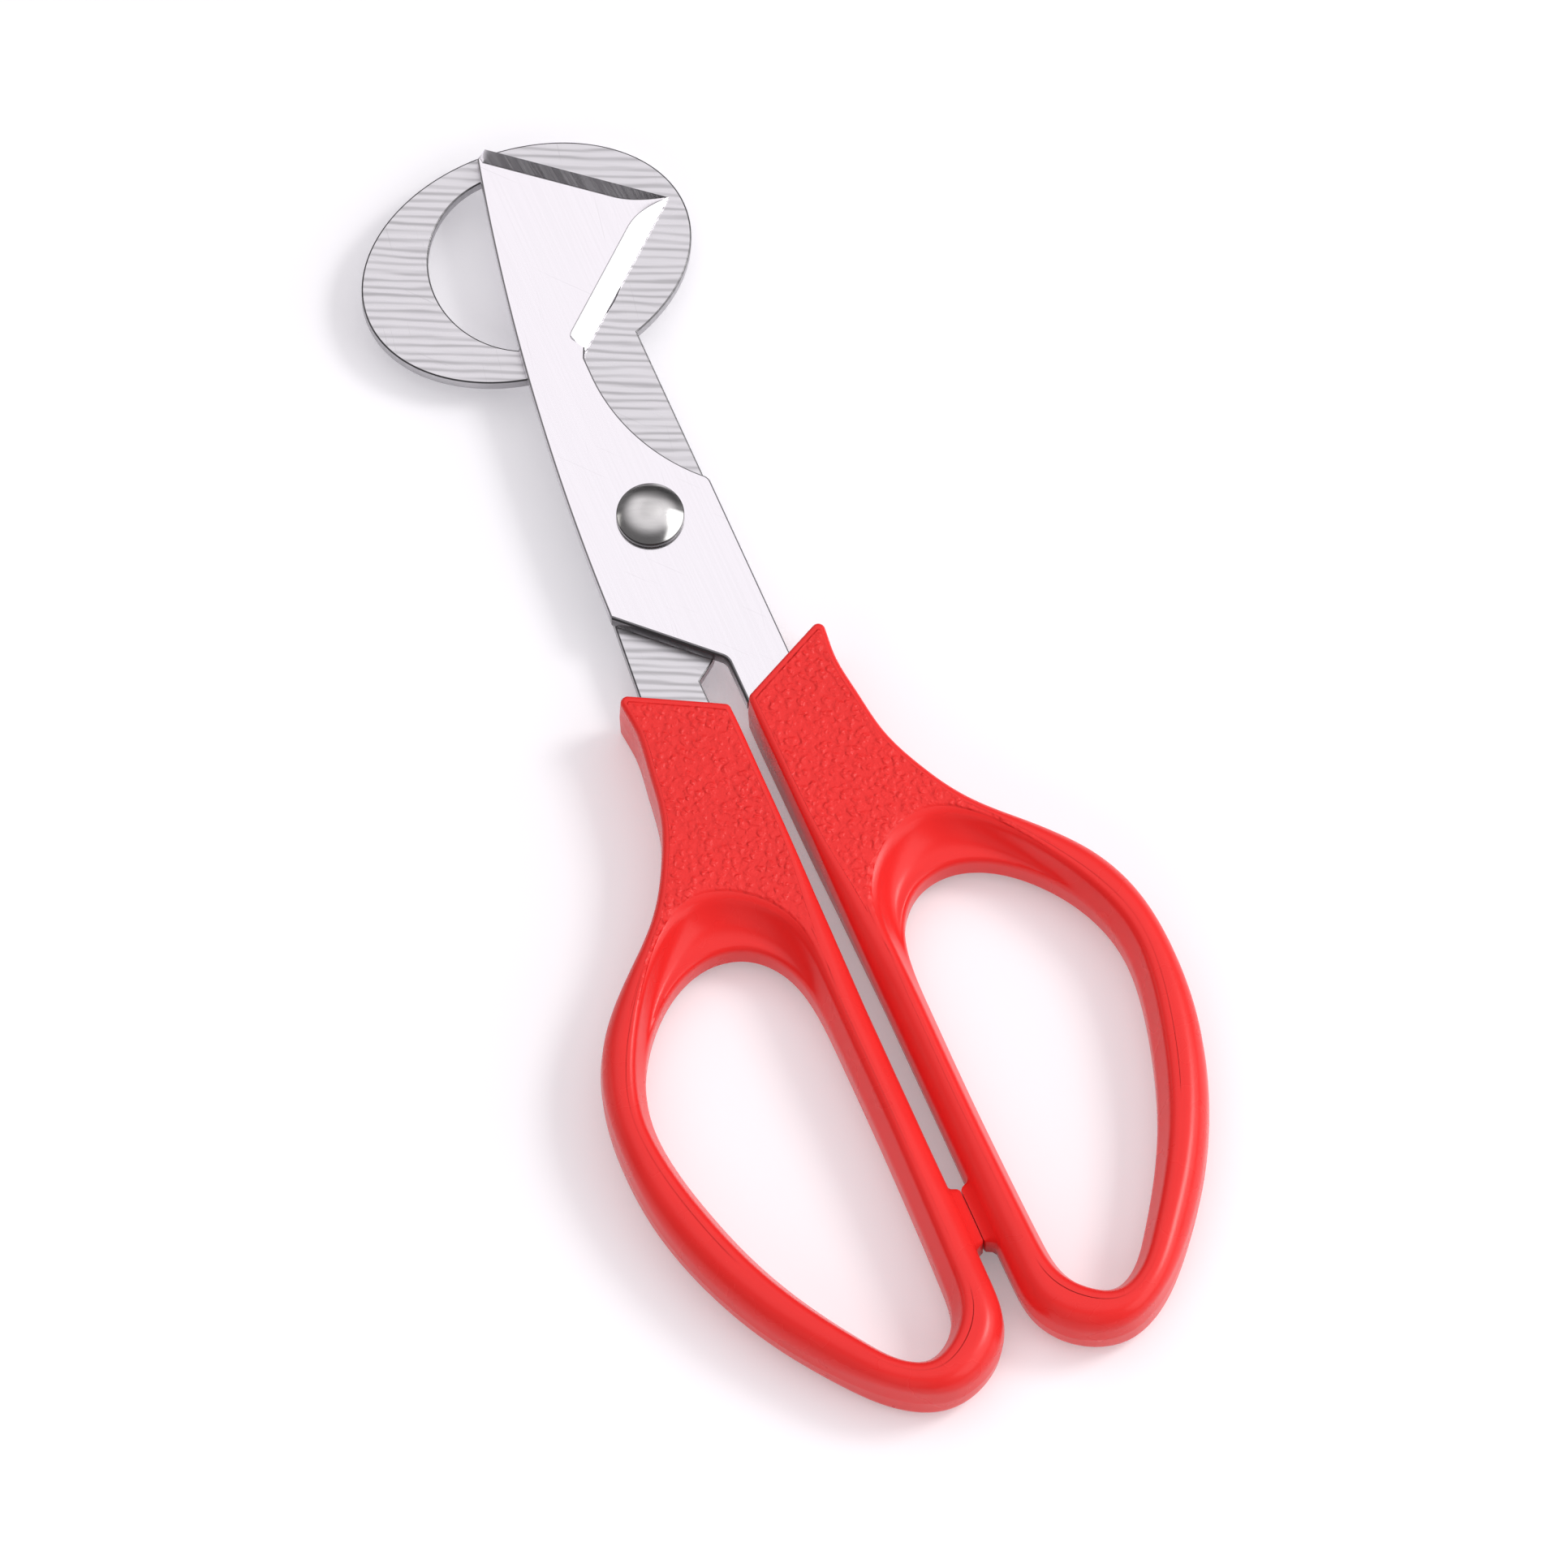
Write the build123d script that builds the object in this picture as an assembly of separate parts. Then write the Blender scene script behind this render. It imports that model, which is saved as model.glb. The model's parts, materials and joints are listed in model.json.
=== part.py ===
from build123d import *
import os
from math import sqrt

# Quail egg scissors: a ring blade and a cutting blade turn on one rivet, each with a moulded loop grip.
# Millimetres. +Y runs from the grips to the head, +X is to the right and +Z is up from the table.
# Everything is drawn about the pivot and moved at the end, so that the origin is the middle of the footprint.

# Heights and clearances
grip_height = 7.5         # thickness of both grips, which lie flat on the table
ring_plate = 1.5          # thickness of the ring blade
cutting_plate = 1.5       # thickness of the cutting blade
running_gap = 0.05        # room above and below the turning plate
pivot_clearance = 0.05    # radial room of the turning plate on the rivet
seat_clearance = 0.02     # radial room of the fixed pieces on the rivet
overrun = 2.0             # how far a cutting tool reaches past the face it cuts

# Ring blade
egg_hole_radius = 10.0
ring_side_rim = 7.1       # metal beside the egg hole, left and right
ring_end_rim = 2.5        # metal above and below the egg hole
ring_reach = 31.2         # pivot to the middle of the egg hole
ring_lean = 0.35          # the oval sits this far left of the egg hole
ring_shank_right = 6.9    # right edge of the shank
ring_neck_left = 5.1      # left edge of the shank where it meets the ring
ring_heel_left = 7.65     # left edge of the shank at the heel
ring_tang_left = 8.5      # left edge of the tang where it enters its grip
ring_tang_right = 2.15    # right edge of the tang, measured left from the middle line
ring_toe_right = 0.15     # corner of the bolster, measured left from the middle line
ring_toe_drop = 16.4      # corner of the bolster below the pivot
ring_notch_drop = 17.9    # lower end of the notch beside the tang

# Cutting blade
shank_right = 7.05        # right edge of the shank and tang
shoulder_height = 1.75    # top of the shank's right edge, above the pivot
waist_right = 0.65        # right edge of the narrow waist
waist_straight = 16.5     # lower end of the waist's straight edge, above the pivot
notch_height = 18.6       # top of the waist's straight edge
edge_start_right = 1.15   # inner end of the cutting edge
edge_start_height = 19.7
tip_right = 15.45         # point of the head
tip_height = 32.2
crown_right = 0.55        # top of the head
crown_height = 44.2
crown_left = 0.75         # left end of the head's top, measured left from the middle line
crown_left_height = 43.0
back_bulge = 1.3          # how far the blade's back bows out from a straight line
edge_bevel = 1.85         # width of the ground bevel on the cutting edge
crown_bevel = 1.9         # width of the ground bevel along the top of the head
edge_land = 0.12          # thickness left at a ground edge
heel_left = 7.9           # left corner of the bolster
heel_drop = 8.9           # left corner of the bolster below the pivot
toe_right = 1.0           # inner edge of the tang outside the grip
toe_drop = 17.3           # corner of the bolster below the pivot
bolster_corner = 1.2      # rounding of the bolster's lower corner and of the shoulder

# Tangs, inside the grips
tang_length = 20.0        # from the nose's outer corner down to the end of a tang
cutting_tang_left = 2.7   # inner edge of the cutting blade's tang inside its grip
lock_hole_radius = 1.4    # plastic fills these holes and locks the tang
lock_hole_pitch = 6.5
tang_corner = 1.0

# Rivet and washer
rivet_radius = 2.0
rivet_head_radius = 3.4
rivet_rim = 0.55          # straight rim under the dome
rivet_dome = 1.2          # rise of the dome
rivet_flat_radius = 0.9   # small flat on top of the dome
tail_radius = 2.9
tail_dome = 0.75
tail_flat_radius = 1.4
washer_radius = 3.6
washer_thickness = 0.5

# Grips. Shares run from the middle line to grip_reach, and from the nose's outer corner down grip_length.
grip_reach = 29.25        # middle line to the outer side of a loop
grip_length = 82.35       # nose to the end of a loop
nose_drop = 17.5          # outer corner of the nose below the pivot
nose_slant = 5.2          # the nose's inner corner lies this much lower
nose_inner = 0.85         # inner side of the grip at its nose
nose_outer = 10.9         # outer side of the grip at its nose
nose_edge_radius = 0.5    # rounding of the flat nose's upper and lower edges
grip_edge_radius = 1.4    # rounding of the grip's long edges
scoop_depth_share = 0.42  # share of the height that the scoop on each face goes down
rib_drop = 82.6           # middle of the stop rib below the pivot
rib_length = 6.9
rib_height = 4.6
rib_round = 0.4
stop_gap = 0.05           # a closed stop rib ends this far from the middle line
leg_steps = 16            # points up the straight inner side of a grip

# Outer side of a grip, from below the nose round the loop to the foot of the straight inner side
outer_shares = [
    (0.365, 0.053),
    (0.384, 0.106),
    (0.415, 0.168),
    (0.482, 0.227),
    (0.588, 0.288),
    (0.756, 0.348),
    (0.892, 0.406),
    (0.964, 0.464),
    (1.000, 0.559),
    (0.988, 0.640),
    (0.902, 0.757),
    (0.740, 0.870),
    (0.622, 0.927),
    (0.494, 0.974),
    (0.320, 1.000),
    (0.135, 0.977),
    (0.051, 0.933),
    (0.034, 0.879),
]
# Finger hole, up its straight inner side, over the top and round
hole_shares = [
    (0.178, 0.760),
    (0.172, 0.640),
    (0.172, 0.520),
    (0.178, 0.456),
    (0.218, 0.399),
    (0.314, 0.361),
    (0.441, 0.351),
    (0.588, 0.369),
    (0.711, 0.407),
    (0.811, 0.461),
    (0.866, 0.530),
    (0.866, 0.590),
    (0.835, 0.670),
    (0.760, 0.763),
    (0.660, 0.840),
    (0.548, 0.905),
    (0.452, 0.943),
    (0.360, 0.954),
    (0.268, 0.938),
    (0.207, 0.900),
    (0.186, 0.850),
]
# Edge of the scoop on the grip's face, in the same order as the finger hole
scoop_shares = [
    (0.139, 0.760),
    (0.132, 0.640),
    (0.132, 0.520),
    (0.133, 0.445),
    (0.163, 0.372),
    (0.286, 0.309),
    (0.441, 0.287),
    (0.574, 0.311),
    (0.694, 0.360),
    (0.832, 0.442),
    (0.906, 0.525),
    (0.908, 0.592),
    (0.876, 0.676),
    (0.800, 0.771),
    (0.696, 0.850),
    (0.575, 0.917),
    (0.466, 0.959),
    (0.360, 0.971),
    (0.246, 0.950),
    (0.168, 0.906),
    (0.146, 0.850),
]

# Levels that follow from the heights
shear_level = grip_height / 2
ring_bottom = shear_level - ring_plate
washer_bottom = ring_bottom - washer_thickness
cutting_bottom = shear_level + running_gap
cutting_top = cutting_bottom + cutting_plate
nose_inner_drop = nose_drop + nose_slant


def nose_height(x):
    """Height of the slanted nose line at a distance from the middle line."""
    return -nose_inner_drop + (x - nose_inner) / (nose_outer - nose_inner) * nose_slant


def corner_of(face, x, y):
    """The corner of a flat face that lies nearest to a point."""
    return face.vertices().sort_by_distance((x, y, 0))[0]


def tang(inner, outer):
    """Right-hand tang below the nose line, with its rounded end and its two lock holes."""
    end = -nose_drop - tang_length
    face = make_face(
        Polyline(
            (inner, nose_height(inner)),
            (outer, nose_height(outer)),
            (outer, end),
            (inner, end),
            close=True,
        )
    )
    face = fillet(face.vertices().sort_by(Axis.Y)[:2], tang_corner)
    for step in (1, 2):
        hole_height = end + (step - 0.5) * lock_hole_pitch
        face -= Pos((inner + outer) / 2, hole_height) * Circle(lock_hole_radius)
    return face


def ring_blade():
    """Oval ring round the egg hole, with its shank, bolster, notch and tang."""
    outside = Ellipse(egg_hole_radius + ring_side_rim, egg_hole_radius + ring_end_rim)
    oval = Pos(-ring_lean, ring_reach) * outside
    ring_foot = ring_reach - egg_hole_radius - ring_end_rim / 2
    shank = make_face(
        Polyline(
            (ring_shank_right, ring_foot),
            (ring_shank_right, -heel_drop),
            (-ring_toe_right, -ring_toe_drop),
            (-ring_tang_right, -ring_notch_drop),
            (-ring_tang_right, nose_height(ring_tang_right)),
            (-ring_tang_left, nose_height(ring_tang_left)),
            (-ring_heel_left, -heel_drop),
            (-ring_neck_left, ring_foot),
            close=True,
        )
    )
    face = oval + shank + mirror(tang(ring_tang_right, ring_tang_left), about=Plane.YZ)
    face -= Pos(0, ring_reach) * Circle(egg_hole_radius)
    face -= Circle(rivet_radius + seat_clearance)
    return extrude(Pos(0, 0, ring_bottom) * face, amount=ring_plate)


def bevel_wedge(start, end, width):
    """Wedge to grind off an edge of the cutting blade, which has the blade on its left from start to end."""
    along = Vector(*end) - Vector(*start)
    outward = Vector(along.Y, -along.X).normalized()
    slope = (cutting_plate - edge_land) / width
    profile = make_face(
        Polyline(
            (0, edge_land),
            (overrun, edge_land - overrun * slope),
            (overrun, cutting_plate + overrun),
            (-width - overrun / slope, cutting_plate + overrun),
            close=True,
        )
    )
    far_end = Vector(*end) + along.normalized() * overrun + Vector(0, 0, cutting_bottom)
    section = Plane(origin=far_end, x_dir=outward, z_dir=-along)
    return extrude(section * profile, amount=along.length + overrun)


def bevel_run_out(place, width):
    """Cone that rounds the inner end of a ground bevel."""
    height = cutting_plate - edge_land
    wide = width * (height + overrun) / height
    cone = Cone(0, wide, height + overrun, align=(Align.CENTER, Align.CENTER, Align.MIN))
    return Pos(*place, cutting_bottom + edge_land) * cone


def cutting_blade():
    """Pointed head with two ground bevels, bowed back, waist, shank, slanted bolster and tang."""
    edge_start = (edge_start_right, edge_start_height)
    tip = (tip_right, tip_height)
    crown = (crown_right, crown_height)
    crown_end = Vector(-crown_left, crown_left_height)
    heel = Vector(-heel_left, -heel_drop)
    toe = (toe_right, -toe_drop)
    shoulder = (shank_right, shoulder_height)
    back_out = (crown_end - heel).rotate(Axis.Z, 90).normalized() * back_bulge
    outline = Curve() + [
        ThreePointArc(crown_end, (crown_end + heel) / 2 + back_out, heel),
        Polyline(
            heel,
            toe,
            (toe_right, nose_height(toe_right)),
            (shank_right, nose_height(shank_right)),
            shoulder,
        ),
        TangentArc((waist_right, waist_straight), shoulder, tangent=(0, -1)),
        Polyline((waist_right, waist_straight), (waist_right, notch_height), edge_start, tip, crown, crown_end),
    ]
    face = make_face(outline)
    face = fillet([corner_of(face, *toe), corner_of(face, *shoulder)], bolster_corner)
    face += tang(cutting_tang_left, shank_right)
    face -= Circle(rivet_radius + pivot_clearance)
    blade = extrude(Pos(0, 0, cutting_bottom) * face, amount=cutting_plate)
    blade -= bevel_wedge(edge_start, tip, edge_bevel)
    blade -= bevel_run_out(edge_start, edge_bevel)
    blade -= bevel_wedge(tip, crown, crown_bevel)
    return blade


def dome(radius, rise, flat_radius, base, up):
    """Half outline of a flattened dome above (up = 1) or below (up = -1) its base level."""
    ball = (radius**2 + rise**2) / (2 * rise)
    middle = (radius + flat_radius) / 2

    def level(reach):
        return base + up * (rise - ball + sqrt(ball**2 - reach**2))

    curve = ThreePointArc((radius, base), (middle, level(middle)), (flat_radius, level(flat_radius)))
    return curve, (0, level(flat_radius))


def pivot_rivet():
    """Domed head on a short rim, shank through both plates and the washer, upset tail."""
    seat = cutting_top + running_gap
    head_curve, head_top = dome(rivet_head_radius, rivet_dome, rivet_flat_radius, seat + rivet_rim, 1)
    tail_curve, tail_end = dome(tail_radius, tail_dome, tail_flat_radius, washer_bottom, -1)
    outline = Curve() + [
        tail_curve,
        Polyline(
            (tail_radius, washer_bottom),
            (rivet_radius, washer_bottom),
            (rivet_radius, seat),
            (rivet_head_radius, seat),
            (rivet_head_radius, seat + rivet_rim),
        ),
        head_curve,
        Polyline(head_curve @ 1, head_top, tail_end, tail_curve @ 1),
    ]
    return revolve(Plane.XZ * make_face(outline), Axis.Z)


def rivet_washer():
    """Flat washer between the ring blade and the rivet's tail."""
    face = Circle(washer_radius) - Circle(rivet_radius + seat_clearance)
    return extrude(Pos(0, 0, washer_bottom) * face, amount=washer_thickness)


def grip_point(share):
    """A point of the right-hand grip from its shares of the grip's reach and length."""
    return (share[0] * grip_reach, -nose_drop - share[1] * grip_length)


def finger_outline(shares):
    """Smooth closed outline, for the finger hole and for its scoop."""
    return make_face(Spline([grip_point(share) for share in shares], periodic=True))


def scoop_tool():
    """Cutter of the scoop on the upper face: it narrows from the scoop's edge down to the finger hole."""
    hole = finger_outline(hole_shares)
    scoop = finger_outline(scoop_shares)
    floor = Pos(0, 0, grip_height * (1 - scoop_depth_share)) * hole
    rim = Pos(0, 0, grip_height) * scoop
    return loft([floor, rim], ruled=True) + extrude(rim, amount=overrun)


def loop_block():
    """The grip's outer form with rounded sides. Its round end reaches past the slanted nose."""
    half_nose = (nose_outer - nose_inner) / 2
    end_height = overrun - nose_drop
    side = [grip_point(share) for share in outer_shares]
    foot = Vector(*side[-1])
    leg = Vector(nose_inner, end_height) - foot
    inner_side = [foot + leg * step / leg_steps for step in range(1, leg_steps + 1)]
    round_end = [(nose_inner + half_nose, end_height + half_nose), (nose_outer, end_height)]
    outline = Spline(side + inner_side + round_end, periodic=True)
    block = extrude(make_face(outline), amount=grip_height)
    levels = block.edges().group_by(Axis.Z)
    return fillet(levels[0] + levels[-1], grip_edge_radius)


def nose_cutter():
    """All that lies beyond the slanted nose, shaped so that the nose's upper and lower edges come out round."""
    along = Vector(nose_outer - nose_inner, nose_slant).normalized()
    upper_edge = grip_height - nose_edge_radius
    beyond = nose_outer + overrun
    profile = Curve() + [
        RadiusArc((-nose_edge_radius, grip_height), (0, upper_edge), nose_edge_radius),
        Line((0, upper_edge), (0, nose_edge_radius)),
        RadiusArc((0, nose_edge_radius), (-nose_edge_radius, 0), nose_edge_radius),
        Polyline(
            (-nose_edge_radius, 0),
            (-nose_edge_radius, -overrun),
            (beyond, -overrun),
            (beyond, grip_height + overrun),
            (-nose_edge_radius, grip_height + overrun),
            (-nose_edge_radius, grip_height),
        ),
    ]
    section = Plane(origin=(nose_inner, -nose_inner_drop), x_dir=along.rotate(Axis.Z, 90), z_dir=along)
    return extrude(section * make_face(profile), amount=beyond, both=True)


def right_grip():
    """Right-hand loop grip without its tang pocket: neck, loop, finger hole, scoops and stop rib."""
    grip = loop_block() - nose_cutter()
    grip -= extrude(finger_outline(hole_shares), amount=grip_height)
    upper_scoop = scoop_tool()
    grip -= upper_scoop
    grip -= mirror(upper_scoop, about=Plane.XY.offset(shear_level))
    rib_root = grip_point(outer_shares[-1])[0] + grip_edge_radius
    rib = Pos((stop_gap + rib_root) / 2, -rib_drop) * RectangleRounded(rib_root - stop_gap, rib_length, rib_round)
    return grip + extrude(Pos(0, 0, shear_level - rib_height / 2) * rib, amount=rib_height)


ring_half_blade = ring_blade()
cutting_half_blade = cutting_blade()
grip = right_grip()
pieces = {
    "ring_blade": ring_half_blade,
    "cutting_blade": cutting_half_blade,
    "ring_grip": mirror(grip, about=Plane.YZ) - ring_half_blade,
    "cutting_grip": grip - cutting_half_blade,
    "pivot_rivet": pivot_rivet(),
    "rivet_washer": rivet_washer(),
}

box = Compound(children=[Part() + piece for piece in pieces.values()]).bounding_box()
middle = (box.min + box.max) / 2
to_origin = Pos(-middle.X, -middle.Y, -box.min.Z)

os.makedirs("parts", exist_ok=True)
for name, piece in pieces.items():
    export_step(to_origin * piece, f"parts/{name}.step")

print("overall size", box.size)
print("pivot at", to_origin.position)
print("egg hole middle at", to_origin.position + Vector(0, ring_reach, ring_bottom))
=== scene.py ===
"""Looks of the egg scissors: steel blades, domed rivet and moulded red loop grips on a pale floor.

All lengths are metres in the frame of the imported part. Outlines are drawn in tool coordinates, whose
origin is the rivet, with +Y towards the head, and are moved to the rivet's place in the frame at the end.
"""

import json
from math import cos, radians, sin, tau

import bmesh
import bpy
import numpy as np
from bpy.props import FloatProperty, FloatVectorProperty, PointerProperty
from mathutils import Matrix, Vector
from mathutils.geometry import delaunay_2d_cdt

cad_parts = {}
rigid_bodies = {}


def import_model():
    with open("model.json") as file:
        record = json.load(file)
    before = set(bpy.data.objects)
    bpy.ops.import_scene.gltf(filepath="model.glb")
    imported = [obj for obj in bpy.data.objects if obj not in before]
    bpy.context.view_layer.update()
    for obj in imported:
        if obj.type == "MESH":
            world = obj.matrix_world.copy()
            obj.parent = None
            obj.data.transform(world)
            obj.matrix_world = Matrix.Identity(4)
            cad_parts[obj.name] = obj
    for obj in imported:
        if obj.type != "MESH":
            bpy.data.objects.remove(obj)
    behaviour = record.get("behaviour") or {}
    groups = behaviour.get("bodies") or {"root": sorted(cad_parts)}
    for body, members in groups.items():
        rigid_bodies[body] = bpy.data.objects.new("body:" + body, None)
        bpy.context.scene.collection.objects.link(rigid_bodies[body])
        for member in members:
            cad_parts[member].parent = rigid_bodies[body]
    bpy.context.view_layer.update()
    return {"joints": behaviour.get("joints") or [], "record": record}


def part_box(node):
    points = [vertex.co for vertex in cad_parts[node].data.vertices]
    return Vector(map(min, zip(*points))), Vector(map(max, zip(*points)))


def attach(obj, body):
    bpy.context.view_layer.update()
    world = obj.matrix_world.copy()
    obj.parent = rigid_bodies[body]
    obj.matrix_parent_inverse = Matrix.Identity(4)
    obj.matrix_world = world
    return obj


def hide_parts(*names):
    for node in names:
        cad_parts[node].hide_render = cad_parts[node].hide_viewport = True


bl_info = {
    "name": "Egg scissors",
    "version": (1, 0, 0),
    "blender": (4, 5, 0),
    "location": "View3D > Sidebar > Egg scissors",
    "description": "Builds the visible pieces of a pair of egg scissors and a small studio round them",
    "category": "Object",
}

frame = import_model()


def levels_of(node):
    """Lowest and highest z of a node's solid."""
    return [corner.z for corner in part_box(node)]


MM = 0.001
PIVOT = np.array(frame["joints"][0]["pos_m"])
RING_BODY = frame["joints"][0]["parent"]
CUTTING_BODY = frame["joints"][0]["child"]
EGG_HOLE = next(mount for mount in frame["record"]["mounts"] if mount["name"] == "egg_hole")
RING_LEVELS = levels_of("ring_blade")
BLADE_LEVELS = levels_of("cutting_blade")
GRIP_LEVELS = levels_of("cutting_grip")
RIVET_LEVELS = levels_of("pivot_rivet")
WASHER_LEVELS = levels_of("rivet_washer")

PHOTO_WIDTH = 1932            # pixels
PHOTO_PIVOT = (801.3, 636.4)  # where the middle of the rivet's seat lies in the photograph
PHOTO_SCALE = 12350           # pixels for one metre

# Grips, in tool coordinates: reach from the middle line, length from the nose's outer corner downwards
NOSE_DROP = 17.5 * MM
NOSE_SLANT = 5.2 * MM
NOSE_INNER = 0.85 * MM
NOSE_OUTER = 10.9 * MM
NOSE_END = 2.0 * MM           # the smooth outline runs on this far before it turns round the nose
GRIP_REACH = 29.25 * MM
GRIP_LENGTH = 82.35 * MM
LEG_STEPS = 16
RIB_DROP = 82.6 * MM
RIB_LENGTH = 6.9 * MM
RIB_HEIGHT = 4.6 * MM
RIB_SOFTNESS = 0.45 * MM
STOP_GAP = 0.05 * MM
LOOP_SPAN = (0.22 * GRIP_LENGTH, 0.46 * GRIP_LENGTH)   # from here the neck turns into the loop, to here
GRAIN_SPAN = (0.32 * GRIP_LENGTH, 0.42 * GRIP_LENGTH)  # from here the grain fades, to here

# Shares of the grip's reach and length: the outer side, the finger hole and the scoop round it
OUTER_SHARES = [
    (0.372, 0.053), (0.388, 0.106), (0.416, 0.168), (0.482, 0.227), (0.588, 0.288), (0.758, 0.348),
    (0.902, 0.406), (0.978, 0.464), (1.014, 0.559), (1.002, 0.640), (0.914, 0.757), (0.748, 0.870),
    (0.626, 0.927), (0.494, 0.973), (0.320, 1.000), (0.135, 0.977), (0.051, 0.933), (0.034, 0.879),
]
HOLE_SHARES = [
    (0.178, 0.760), (0.172, 0.640), (0.172, 0.520), (0.178, 0.456), (0.218, 0.399), (0.314, 0.361),
    (0.441, 0.351), (0.588, 0.369), (0.711, 0.407), (0.811, 0.461), (0.864, 0.530), (0.856, 0.590),
    (0.808, 0.668), (0.724, 0.756), (0.620, 0.830), (0.508, 0.893), (0.420, 0.930), (0.345, 0.942),
    (0.265, 0.930), (0.207, 0.900), (0.186, 0.850),
]
SCOOP_SHARES = [
    (0.139, 0.760), (0.132, 0.640), (0.131, 0.520), (0.126, 0.440), (0.140, 0.364), (0.268, 0.303),
    (0.441, 0.285), (0.574, 0.311), (0.694, 0.360), (0.832, 0.442), (0.906, 0.525), (0.900, 0.592),
    (0.852, 0.674), (0.768, 0.764), (0.660, 0.840), (0.538, 0.906), (0.436, 0.947), (0.345, 0.960),
    (0.243, 0.943), (0.168, 0.906), (0.146, 0.850),
]
# Points of the outer side and, counted along its list, the point of the finger hole that each faces
FACING_SHARES = [
    ((0.373, 0.000), 4.95), ((0.372, 0.053), 5.2), ((0.388, 0.106), 5.6), ((0.416, 0.168), 6.0),
    ((0.482, 0.227), 6.5), ((0.588, 0.288), 7.1), ((0.756, 0.348), 8.0), ((1.014, 0.559), 10.5),
    ((0.914, 0.757), 13.0), ((0.494, 0.973), 16.0), ((0.135, 0.977), 18.0), ((0.034, 0.879), 20.0),
    ((0.031, 0.480), 24.0), ((0.030, 0.334), 24.8), ((0.030, 0.152), 25.15), ((0.029, 0.063), 25.35),
]

# Ring blade, in tool coordinates
RING_REACH = EGG_HOLE["pos_m"][1] - PIVOT[1]
EGG_HOLE_MIDDLE = (-0.4 * MM, RING_REACH + 0.1 * MM)
EGG_HOLE_RADIUS = 9.75 * MM   # in the photograph the cutting edge just covers the hole
RING_HALF_SIZE = np.array([17.1 * MM, 12.5 * MM])
RING_MIDDLE = np.array([-0.35 * MM, RING_REACH])
RING_SHANK_RIGHT = 6.9 * MM
RING_HEEL = (-7.65 * MM, -8.9 * MM)
RING_NECK = (-5.1 * MM, 19.95 * MM)
RING_TOE = (-0.15 * MM, -16.4 * MM)
RING_NOTCH_DROP = 17.9 * MM
RING_TANG = (-8.5 * MM, -2.15 * MM)
OVAL_STEPS = 181
EGG_HOLE_STEPS = 160

# Cutting blade, in tool coordinates
SHANK_RIGHT = 7.05 * MM
SHOULDER = (SHANK_RIGHT, 1.75 * MM)
WAIST = (0.65 * MM, 16.5 * MM)
WAIST_HOLLOW = 1.67 * MM
NOTCH = (0.65 * MM, 18.6 * MM)
EDGE_START = (1.15 * MM, 19.7 * MM)
TIP = (15.45 * MM, 32.2 * MM)
CROWN = (0.55 * MM, 44.2 * MM)
CROWN_END = (-0.75 * MM, 43.0 * MM)
BACK_BULGE = 1.3 * MM
HEEL = (-7.9 * MM, -8.9 * MM)
TOE = (1.0 * MM, -17.3 * MM)
CORNER_ROUND = 1.2 * MM
WAIST_STEPS = 40
SHOULDER_STEPS = 2            # points of the waist that the rounded shoulder replaces
BACK_STEPS = 60
TIP_SHARPNESS = 5             # how many times less than other edges the tip is broken
BEVEL_STEPS = 50              # points along each ground bevel
BEVEL_TIP = 0.02 * MM         # least width of the crown's bevel
EDGE_FAN = 8                  # points that fan out round the lower end of the cutting edge's bevel
FAN_LEAN = 0.2 * MM
FAN_RUN = 0.8 * MM
FAN_FOOT = 0.6                # share of the bevel's width at which the fan begins
FAN_END = 1.05 * MM           # the bevel's straight inner line begins this far along the edge

# Tangs inside the grips
TANG_END = -NOSE_DROP - 20.0 * MM
CUTTING_TANG_LEFT = 2.7 * MM
TANG_CORNER = 1.0 * MM
LOCK_HOLE_RADIUS = 1.4 * MM
LOCK_HOLE_PITCH = 6.5 * MM
LOCK_HOLE_STEPS = 40

# Rivet
RIVET_RADIUS = 2.0 * MM
RIVET_PLAY = 0.05 * MM
RIVET_HEAD = 3.4 * MM
RIVET_RIM = 0.55 * MM
RIVET_TAIL = 2.9 * MM
RIVET_HOLE_STEPS = 64
RIVET_TURN_STEPS = 128
DOME_SHARES = np.linspace(0.04, 1, 34)[:, None]
RIM_SOFTNESS = 0.12 * MM
FOOT_SOFTNESS = 0.10 * MM
# Radius from which the rivet's rim is painted dark as shade
PAINTED_SHADE_RIM_START = 0.985 * RIVET_HEAD
MATTE_SPAN = (0.15 * RIVET_HEAD, 0.45 * RIVET_HEAD)
WASHER_PLAY = 0.02 * MM
WASHER_SOFTNESS = 0.12 * MM
WASHER_TURN_STEPS = 96


def distance(label, words, millimetres):
    """A length that can be changed in the panel."""
    return FloatProperty(
        name=label, description=words, default=millimetres * MM, unit="LENGTH", precision=5
    )


def turning(label, words, degrees):
    """An angle that can be changed in the panel."""
    return FloatProperty(name=label, description=words, default=radians(degrees), subtype="ANGLE")


def amount(label, words, value, top=1.0):
    """A plain number that can be changed in the panel."""
    return FloatProperty(name=label, description=words, default=value, min=0.0, max=top)


def colour(label, words, red, green, blue):
    """A colour that can be changed in the panel."""
    return FloatVectorProperty(
        name=label, description=words, subtype="COLOR", size=3, min=0.0, max=1.0, default=(red, green, blue)
    )


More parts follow.
